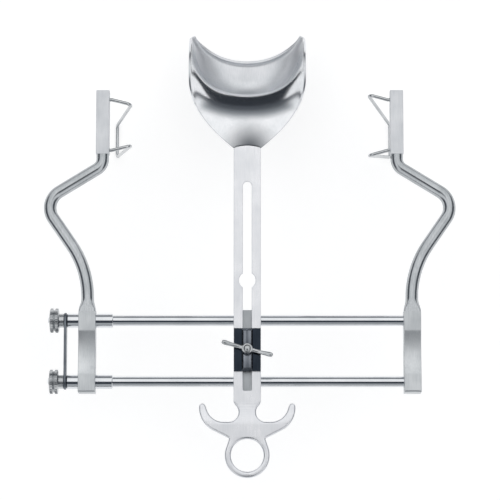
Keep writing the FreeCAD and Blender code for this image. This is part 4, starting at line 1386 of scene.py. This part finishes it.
@dataclass
class Handle:
    """The slotted stem and the finger handle below it.

    Args:
        slot_width: Width of the slot.
        slot_foot: Lower end of the slot.
        slot_head: Upper end of the slot.
        slot_round: Corner rounding of its lower end.
        keyhole: Radius of the keyhole.
        keyhole_at: Its centre.
        seam_bulge: Rise of the rounded end at the blade.
        stem_edge: Rounding of the stem's edges.
        tuck: Length of the stem that runs into the thicker handle.
        taper: Length in which the neck thins out to the stem.
        even: Length of the neck below the stem that is as thin as the stem.
        thinner: How much thinner than the stem it ends.
        ring_bore: Radius of the finger ring's bore.
        ring_wall: Width of the ring.
        handle_edge: Rounding of the handle's edges.
        waist: Half width of the neck's waist.
        crotch: Radius of the corner between the neck and a hook.
        notch: The corner between the ring and a hook.
        notch_round: Its rounding.
        hook_side: Middle of a hook to the side of the ring.
        hook_rise: Middle of a hook above the ring.
        hook_bend: Radius of its middle line.
        hook_root: Half width at the root.
        hook_tip: Half width at the tip.
        tip_turn: Direction of the tip in degrees from the hook's middle.
    """

    slot_width: float = 6.2
    slot_foot: float = 44.8
    slot_head: float = 191.9
    slot_round: float = 0.8
    keyhole: float = 5.8
    keyhole_at: float = 122.1
    seam_bulge: float = 1.8
    stem_edge: float = 0.3
    tuck: float = 1.6
    taper: float = 14.0
    even: float = 2.6
    thinner: float = 0.06
    ring_bore: float = 11.25
    ring_wall: float = 4.4
    handle_edge: float = 1.5
    waist: float = 6.1
    crotch: float = 6.8
    notch: tuple[float, float] = (12.6, 11.6)
    notch_round: float = 1.0
    hook_side: float = 16.5
    hook_rise: float = 33.9
    hook_bend: float = 14.5
    hook_root: float = 3.8
    hook_tip: float = 2.2
    tip_turn: float = 8.0

    def build(self) -> None:
        """Make the stem and the handle."""
        self.stem()
        self.handle()

    def stem(self) -> None:
        """The stem with its slot and keyhole."""
        span = Span.of("blade_stem")
        half, foot = span.size.x / 2, span.low.y - self.tuck
        head = span.high.y - self.seam_bulge
        seam = ((half, head), (0, span.high.y), (-half, head))
        outer = [(-half, foot), (half, foot)]
        outer += arc_through(*(Vector(point) for point in seam), 24)
        slot, corner = self.slot_width / 2, self.slot_round
        side, low = slot - corner, self.slot_foot + corner
        eye, joint = (0, self.keyhole_at), math.degrees(math.asin(slot / self.keyhole))
        hole = arc((0, self.slot_head - slot), slot, 0, 180, 8)
        hole += arc(eye, self.keyhole, 90 + joint, 270 - joint)
        hole += arc((-side, low), corner, 180, 270, 30)
        hole += arc((side, low), corner, 270, 360, 30)
        hole += arc(eye, self.keyhole, -90 + joint, 90 - joint)
        centre = Vector((span.middle.x, 0, span.middle.z))
        item = plate("stem_bar", [outer, hole], span.size.z, self.stem_edge, Plane.XY, centre)
        dressed(item, SATIN_FLAT, "satin_stem", "centre_blade", "blade_stem")

    def handle(self) -> None:
        """The flat forged handle: neck, two hooks and the ring."""
        stem, span = Span.of("blade_stem"), Span.of("finger_handle")
        half, top, edge = stem.size.x / 2, stem.low.y, self.handle_edge
        right = self.half_outline(half, top) + [(half, top + edge)]
        left = [(-across, up) for across, up in reversed(right[1:])]
        loops = [right + left, circle(self.ring_bore, count=96)]
        centre = Vector((span.middle.x, 0, 0))
        item = plate("finger_grip", loops, span.size.z, edge, Plane.XY, centre, steps=5)
        thin = top - self.even
        thinned(item, thin - self.taper, thin, (stem.size.z - self.thinner) / span.size.z)
        dressed(item, SATIN_FLAT, "satin_stem", "centre_blade", "finger_handle")

    def hook_circle(self, reach: float, bottom: float) -> tuple[Vector, float, float]:
        """The circle that is level at a hook's bottom and meets its tip.

        Args:
            reach: Distance from the hook's middle to the circle's end at the tip.
            bottom: Height of the circle's lowest point.

        Returns:
            Its centre, its radius and the angle of its end at the tip.
        """
        turn = math.radians(self.tip_turn)
        across = reach * math.cos(turn)
        up = self.hook_rise + reach * math.sin(turn) - bottom
        radius = (across**2 + up**2) / (2 * up)
        centre = Vector((self.hook_side, bottom + radius))
        return centre, radius, math.degrees(math.atan2(up - radius, across))

    def half_outline(self, half: float, top: float) -> Outline:
        """The right half of the handle's outline, from the ring's foot up to the stem.

        Args:
            half: Half the stem's width.
            top: Lower end of the stem.

        Returns:
            The points.
        """
        ring, notch = self.ring_bore + self.ring_wall, Vector(self.notch)
        foot, root = self.hook_rise - self.hook_bend, self.hook_root
        bend, end = self.hook_bend, self.hook_tip
        out_at, out_bend, out_turn = self.hook_circle(bend + end, foot - root)
        in_at, in_bend, in_turn = self.hook_circle(bend - end, foot + root)
        touch = tangent_angle(Vector((0, 0)), ring, notch, -1)
        heel = tangent_angle(out_at, out_bend, notch, 1)
        edge = arc((0, 0), ring, -90, touch, 4)
        hook = arc(out_at, out_bend, heel, out_turn - math.degrees(end / out_bend), 4)
        corner = [Vector((*place, 0)) for place in (edge[-1], self.notch, hook[0])]
        nook = [(point.x, point.y) for point, _ in bent_line(corner, [self.notch_round], 15)]
        turn = math.radians(self.tip_turn)
        tip = (
            self.hook_side + bend * math.cos(turn) + end * math.sin(turn),
            self.hook_rise + bend * math.sin(turn) - end * math.cos(turn),
        )
        cap = arc(tip, end, self.tip_turn, self.tip_turn + 180, 15)
        inner = arc(in_at, in_bend, in_turn - math.degrees(end / in_bend), -90, 4)
        crotch = Vector((self.waist + self.crotch, foot + root + self.crotch))
        wide, tall = half - self.waist, top - crotch.y
        swing = (wide**2 + tall**2) / (4 * wide)
        bow = 2 * math.degrees(math.atan2(wide, tall))
        neck = arc(crotch, self.crotch, 270, 180)
        neck += arc((self.waist + swing, crotch.y), swing, 180, 180 - bow, 8)[1:]
        neck += arc((half - swing, top), swing, -bow, 0, 8)[1:]
        return edge + nook[1:-1] + hook + cap[1:-1] + inner + neck


@dataclass
class CentreBlade:
    """The centre blade: a deep curved spoon with a lip and a turned-up rim.

    Args:
        width: Width over the wall.
        depth: Drop from the stem to the lip.
        gauge: Plate thickness.
        run: Flat run after the seam.
        shoulder: Radius of the upper bend.
        heel: Radius of the lower bend.
        lip: Flat part of the lip.
        rim: Height of the turned-up rim.
        rim_share: The rim's length against the blade's.
        flare: Length in which the blade widens.
        flare_power: How fast it widens at first.
        horn_reach: Side corners beyond the seam.
        horn_drop: Side corners below the stem.
        horn_bow: How much of the side edge's way follows a quarter wave.
        horn_power: How late the side edge drops.
        trough: Share of a half circle that the cross-section takes.
        bulge: Rise of the seam.
        across: Faces across the blade.
        along: Faces along the blade.
        rim_rows: Faces along the rim.
        edge: Rounding of the blade's edge.
    """

    width: float = 82.0
    depth: float = 58.0
    gauge: float = 2.0
    run: float = 6.3
    shoulder: float = 36.0
    heel: float = 16.0
    lip: float = 9.9
    rim: float = 3.3
    rim_share: float = 0.05
    flare: float = 54.0
    flare_power: float = 2.2
    horn_reach: float = 88.6
    horn_drop: float = 42.0
    horn_bow: float = 0.75
    horn_power: float = 1.7
    trough: float = 0.97
    bulge: float = 1.8
    across: int = 72
    along: int = 84
    rim_rows: int = 8
    edge: float = 0.55

    def __post_init__(self) -> None:
        """Read the stem's end from the frame."""
        stem = Span.of("blade_stem")
        self.half = stem.size.x / 2
        self.stem_gauge = stem.size.z
        self.seam = stem.high.y
        self.head = self.seam - self.bulge

    def build(self) -> None:
        """Make the blade."""
        rows = [i / self.along for i in range(self.along + 1)]
        rows += [1 + self.rim_share * (i + 1) / self.rim_rows for i in range(self.rim_rows)]
        columns = [-1 + 2 * i / self.across for i in range(self.across + 1)]
        points: list[Vector] = []
        for turn in (1, -1):
            for along in rows:
                reach = turn * self.half_gauge(along)
                points += [self.point(along, across, rows[-1], reach) for across in columns]
        wide, long = len(columns), len(rows)
        size = wide * long
        faces = []
        for a in range(size - wide):
            if a % wide < wide - 1:
                faces.append([a, a + 1, a + wide + 1, a + wide])
                faces.append([size + a, size + a + wide, size + a + wide + 1, size + a + 1])
        border = list(range(wide))
        border += range(2 * wide - 1, size, wide)
        border += range(size - 2, size - wide - 1, -1)
        border += range(size - 2 * wide, 0, -wide)
        for a, b in zip(border, border[1:] + border[:1]):
            faces.append([a, size + a, size + b, b])
        item = new_object("blade_spoon", welded(new_mesh("blade_spoon", points, faces), 0.0005))
        item = softened(item, self.edge, 60)
        dressed(item, BLADE_POLISH, "polished_blade", "centre_blade", "centre_blade")

    def half_gauge(self, along: float) -> float:
        """Half the thickness at a share of the length."""
        return (self.gauge + (self.stem_gauge - self.gauge) * max(0.0, 1 - 3 * along)) / 2

    def profile(self, share: float) -> tuple[float, float]:
        """The middle line in the side view.

        Args:
            share: Share of its length.

        Returns:
            The point as y and z.
        """
        wall = self.depth - self.shoulder - self.heel
        bends = self.shoulder * math.pi / 2, self.heel * math.pi / 2
        left = share * (self.run + bends[0] + wall + bends[1] + self.lip) - self.run
        y, z = self.seam + self.run, 0.0
        if left <= 0:
            return y + left, z
        if left <= bends[0]:
            turn = left / self.shoulder
            return y + self.shoulder * math.sin(turn), -self.shoulder * (1 - math.cos(turn))
        y, z, left = y + self.shoulder, -self.shoulder, left - bends[0]
        if left <= wall:
            return y, z - left
        z, left = z - wall, left - wall
        if left <= bends[1]:
            turn = left / self.heel
            return y + self.heel * (1 - math.cos(turn)), z - self.heel * math.sin(turn)
        return y + self.heel + left - bends[1], z - self.heel

    def border(self, share: float) -> tuple[float, float, float]:
        """The side edge.

        Args:
            share: Share of the blade's length.

        Returns:
            Half the width, y and z.
        """
        bow = self.horn_bow * math.sin(math.pi / 2 * share) + (1 - self.horn_bow) * share
        y = self.head + self.horn_reach * bow
        z = -self.horn_drop * share**self.horn_power
        spread = min(1.0, (y - self.head) / self.flare)
        half = self.width / 2
        return half - (half - self.half) * (1 - spread) ** self.flare_power, y, z

    def floor(self, along: float, across: float) -> Vector:
        """A point of the middle surface without the rim.

        Args:
            along: Share of the length.
            across: Share of the half width.

        Returns:
            The point.
        """
        y, z = self.profile(along)
        half, edge_y, edge_z = self.border(along)
        sink = math.sqrt(1 - (self.trough * across) ** 2)
        bow = (1 - sink) / (1 - math.sqrt(1 - self.trough**2))
        x = half * across
        level = y + (edge_y - y) * bow
        if abs(x) < self.half:
            level = max(level, self.head + self.bulge * (1 - (x / self.half) ** 2))
        return Vector((x, level, z + (edge_z - z) * bow))

    def slopes(
        self, surface: Callable[[float, float], Vector], along: float, across: float, end: float
    ) -> tuple[Vector, Vector, Vector]:
        """Unit directions of a surface at a spot.

        Args:
            surface: The surface as a function.
            along: Share of its length.
            across: Share of its half width.
            end: Largest share of the length.

        Returns:
            The directions along it, across it and out of it.
        """
        step = 1e-3
        low, high = max(0.0, along - step), min(end, along + step)
        left, right = max(-1.0, across - step), min(1.0, across + step)
        forward = (surface(high, across) - surface(low, across)).normalized()
        sideways = (surface(along, right) - surface(along, left)).normalized()
        return forward, sideways, sideways.cross(forward).normalized()

    def middle(self, along: float, across: float) -> Vector:
        """A point of the middle surface with the rim.

        Args:
            along: Share of the length; beyond 1 the rim turns up.
            across: Share of the half width.

        Returns:
            The point.
        """
        if along <= 1:
            return self.floor(along, across)
        forward, _, upward = self.slopes(self.floor, 1.0, across, 1.0)
        turn = (along - 1) / self.rim_share * math.pi / 2
        ahead, rise = self.rim * math.sin(turn), self.rim * (1 - math.cos(turn))
        return self.floor(1.0, across) + forward * ahead + upward * rise

    def point(self, along: float, across: float, end: float, reach: float) -> Vector:
        """A point of the outer or inner skin, off the middle surface by reach."""
        outward = self.slopes(self.middle, along, across, end)[2]
        return self.middle(along, across) + outward * reach


# Colours of the room around the X axis: angle in degrees from straight up towards Y, colour
ROOM = (
    (-180, "b8b8b8"),
    (-95, "a0a3a6"),
    (-55, "b0b3b5"),
    (-46, "9a9da1"),
    (-40, "3a3f46"),
    (-7, "3a3f46"),
    (-3, "7a7d82"),
    (1, "ffffff"),
    (48, "ffffff"),
    (66, "8d9195"),
    (82, "42464c"),
    (92, "33373d"),
    (100, "d0d0d0"),
    (180, "c8c8c8"),
)
# Colours of its two sides: how far the direction leans to X, colour
FLANKS = ((0.0, "f0f1f2"), (0.7, "f0f1f2"), (0.82, "5c6066"))


@dataclass
class Studio:
    """Floor, light and camera.

    Args:
        aim: What the camera looks at, in millimetres.
        elevation: Its angle above the floor in degrees.
        distance: Its distance in millimetres.
        view: Its field of view in degrees.
        floor: Half the side of the floor.
        floor_gap: The floor below the instrument.
        glow: Light of the floor where it is seen.
        card_gap: The dark strip below the instrument.
        card_tuck: How far it runs in under the blade.
        card_spread: Widening of the strip beyond the blade against its length.
        card_half: Half its width at the blade.
        card_shift: Its middle to the right of the aim.
        strength: Light of the room.
        flank: Leanings to X between which the room's sides take over.
        horizon: Heights of the direction between which a grey band gives way to the room.
    """

    aim: tuple[float, float, float] = (1.9, 143.5, 0.0)
    elevation: float = 82.0
    distance: float = 1800.0
    view: float = 11.1
    floor: float = 3000.0
    floor_gap: float = 0.2
    glow: float = 0.68
    card_gap: float = 0.1
    card_tuck: float = 6.0
    card_spread: float = 0.26
    card_half: float = 12.0
    card_shift: float = 3.0
    strength: float = 1.14
    flank: tuple[float, float] = (0.18, 0.4)
    horizon: tuple[float, float] = (0.06, 0.24)

    def build(self) -> None:
        """Make the studio."""
        self.ground()
        self.card()
        self.world()
        self.camera()

    def sheet(self, name: str, corners: Outline, level: float) -> tuple[Item, Tree]:
        """Make a level sheet with a material of its own.

        Args:
            name: Name of the sheet and its material.
            corners: Its four corners.
            level: Its height.

        Returns:
            The sheet and the empty node tree of its material.
        """
        points = [Vector((*corner, level)) for corner in corners]
        item = new_object(name, new_mesh(name, points, [[0, 1, 2, 3]]))
        item.data.materials.append(bpy.data.materials.new(name))
        return item, emptied(item.data.materials[0])

    def ground(self) -> None:
        """The plain white floor that the instrument lies on."""
        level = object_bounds()[0][2] / MM - self.floor_gap
        floor, tree = self.sheet("floor", rectangle(self.floor, self.floor), level)
        paint = first_of(tree, "ShaderNodeBsdfDiffuse", {"Color": hex_colour("f4f4f4")})
        shine = {"Color": hex_colour("ffffff"), "Strength": self.glow}
        glow = first_of(tree, "ShaderNodeEmission", shine)
        dim = first_of(tree, "ShaderNodeBsdfDiffuse", {"Color": hex_colour("bababa")})
        seen = first_of(tree, "ShaderNodeAddShader", {0: glow, 1: dim})
        rays = add_node(tree, "ShaderNodeLightPath").outputs
        shown = rays["Is Camera Ray"]
        for kind in ("Is Glossy Ray", "Is Transmission Ray"):
            shown = computed(tree, "MAXIMUM", shown, rays[kind])
        both = first_of(tree, "ShaderNodeMixShader", {0: shown, 1: paint, 2: seen})
        add_node(tree, "ShaderNodeOutputMaterial", {"Surface": both})
        floor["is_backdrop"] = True

    def card(self) -> None:
        """The dark strip of floor beyond the blade, which only shows in polished steel."""
        low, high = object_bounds()
        near, far = high[1] / MM - self.card_tuck, self.floor
        middle, half = self.aim[0] + self.card_shift, self.card_half
        wide = half + (far - near) * self.card_spread
        corners = [(middle - half, near), (middle + half, near)]
        corners += [(middle + wide, far), (middle - wide, far)]
        card, tree = self.sheet("dark_card", corners, low[2] / MM - self.card_gap)
        paint = first_of(tree, "ShaderNodeEmission", {"Color": hex_colour("33373d")})
        add_node(tree, "ShaderNodeOutputMaterial", {"Surface": paint})
        card.visible_camera = False
        card.visible_diffuse = False
        card.visible_shadow = False
        card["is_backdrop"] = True

    def world(self) -> None:
        """A white studio with a dark ceiling over the camera and a grey front."""
        world = bpy.data.worlds.new("studio")
        bpy.context.scene.world = world
        tree = emptied(world)
        heading = add_node(tree, "ShaderNodeTexCoord").outputs["Generated"]
        parts = add_node(tree, "ShaderNodeSeparateXYZ", {0: heading}).outputs
        turn = computed(tree, "ARCTAN2", parts["Y"], parts["Z"])
        stops = [((angle + 180) / 360, code) for angle, code in ROOM]
        room = self.ramp(tree, mapped(tree, turn, -math.pi, math.pi), stops)
        side = computed(tree, "ABSOLUTE", parts["X"])
        edge = mapped(tree, side, *self.flank, ease="SMOOTHSTEP")
        around = blended(tree, edge, room, self.ramp(tree, side, FLANKS))
        height = computed(tree, "ABSOLUTE", parts["Z"])
        lift = mapped(tree, height, *self.horizon, ease="SMOOTHSTEP")
        colour = blended(tree, lift, hex_colour("4c5056"), around)
        light = {"Color": colour, "Strength": self.strength}
        surface = first_of(tree, "ShaderNodeBackground", light)
        add_node(tree, "ShaderNodeOutputWorld", {"Surface": surface})

    def ramp(self, tree: Tree, share: Socket, stops: Iterable[tuple[float, str]]) -> Socket:
        """Run through colours.

        Args:
            tree: The node tree.
            share: How far along they are wanted.
            stops: Place and colour of each stop.

        Returns:
            The colour.
        """
        node = add_node(tree, "ShaderNodeValToRGB", {0: share})
        elements = node.color_ramp.elements
        while len(elements) > 1:
            elements.remove(elements[0])
        for number, (place, code) in enumerate(stops):
            stop = elements.new(place) if number else elements[0]
            stop.position = place
            stop.color = hex_colour(code)
        return node.outputs[0]

    def camera(self) -> None:
        """The camera at the photograph's angle."""
        tilt = math.radians(self.elevation)
        back = Vector((0, -math.cos(tilt), math.sin(tilt))) * self.distance
        data = bpy.data.cameras.new("camera")
        data.angle = math.radians(self.view)
        data.clip_end = 10
        camera = new_object("camera", data)
        camera.location = (Vector(self.aim) + back) * MM
        camera.rotation_euler = back.to_track_quat("Z", "Y").to_euler()
        bpy.context.scene.camera = camera


def main() -> None:
    """Build every sub-assembly around the frame, then the studio."""
    logging.basicConfig(level=logging.INFO, format="%(name)s %(message)s")
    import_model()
    Rods().build()
    Arm(1, "right", "frame", corner_span=44.0, tip_reach=1.8).build()
    Arm(-1, "left", "sliding_arm", corner_span=29.4, tip_reach=7.5).build()
    Clamp().build()
    Handle().build()
    CentreBlade().build()
    Studio().build()
    bpy.context.scene.view_settings.view_transform = "Standard"


if __name__ == "__main__":
    main()
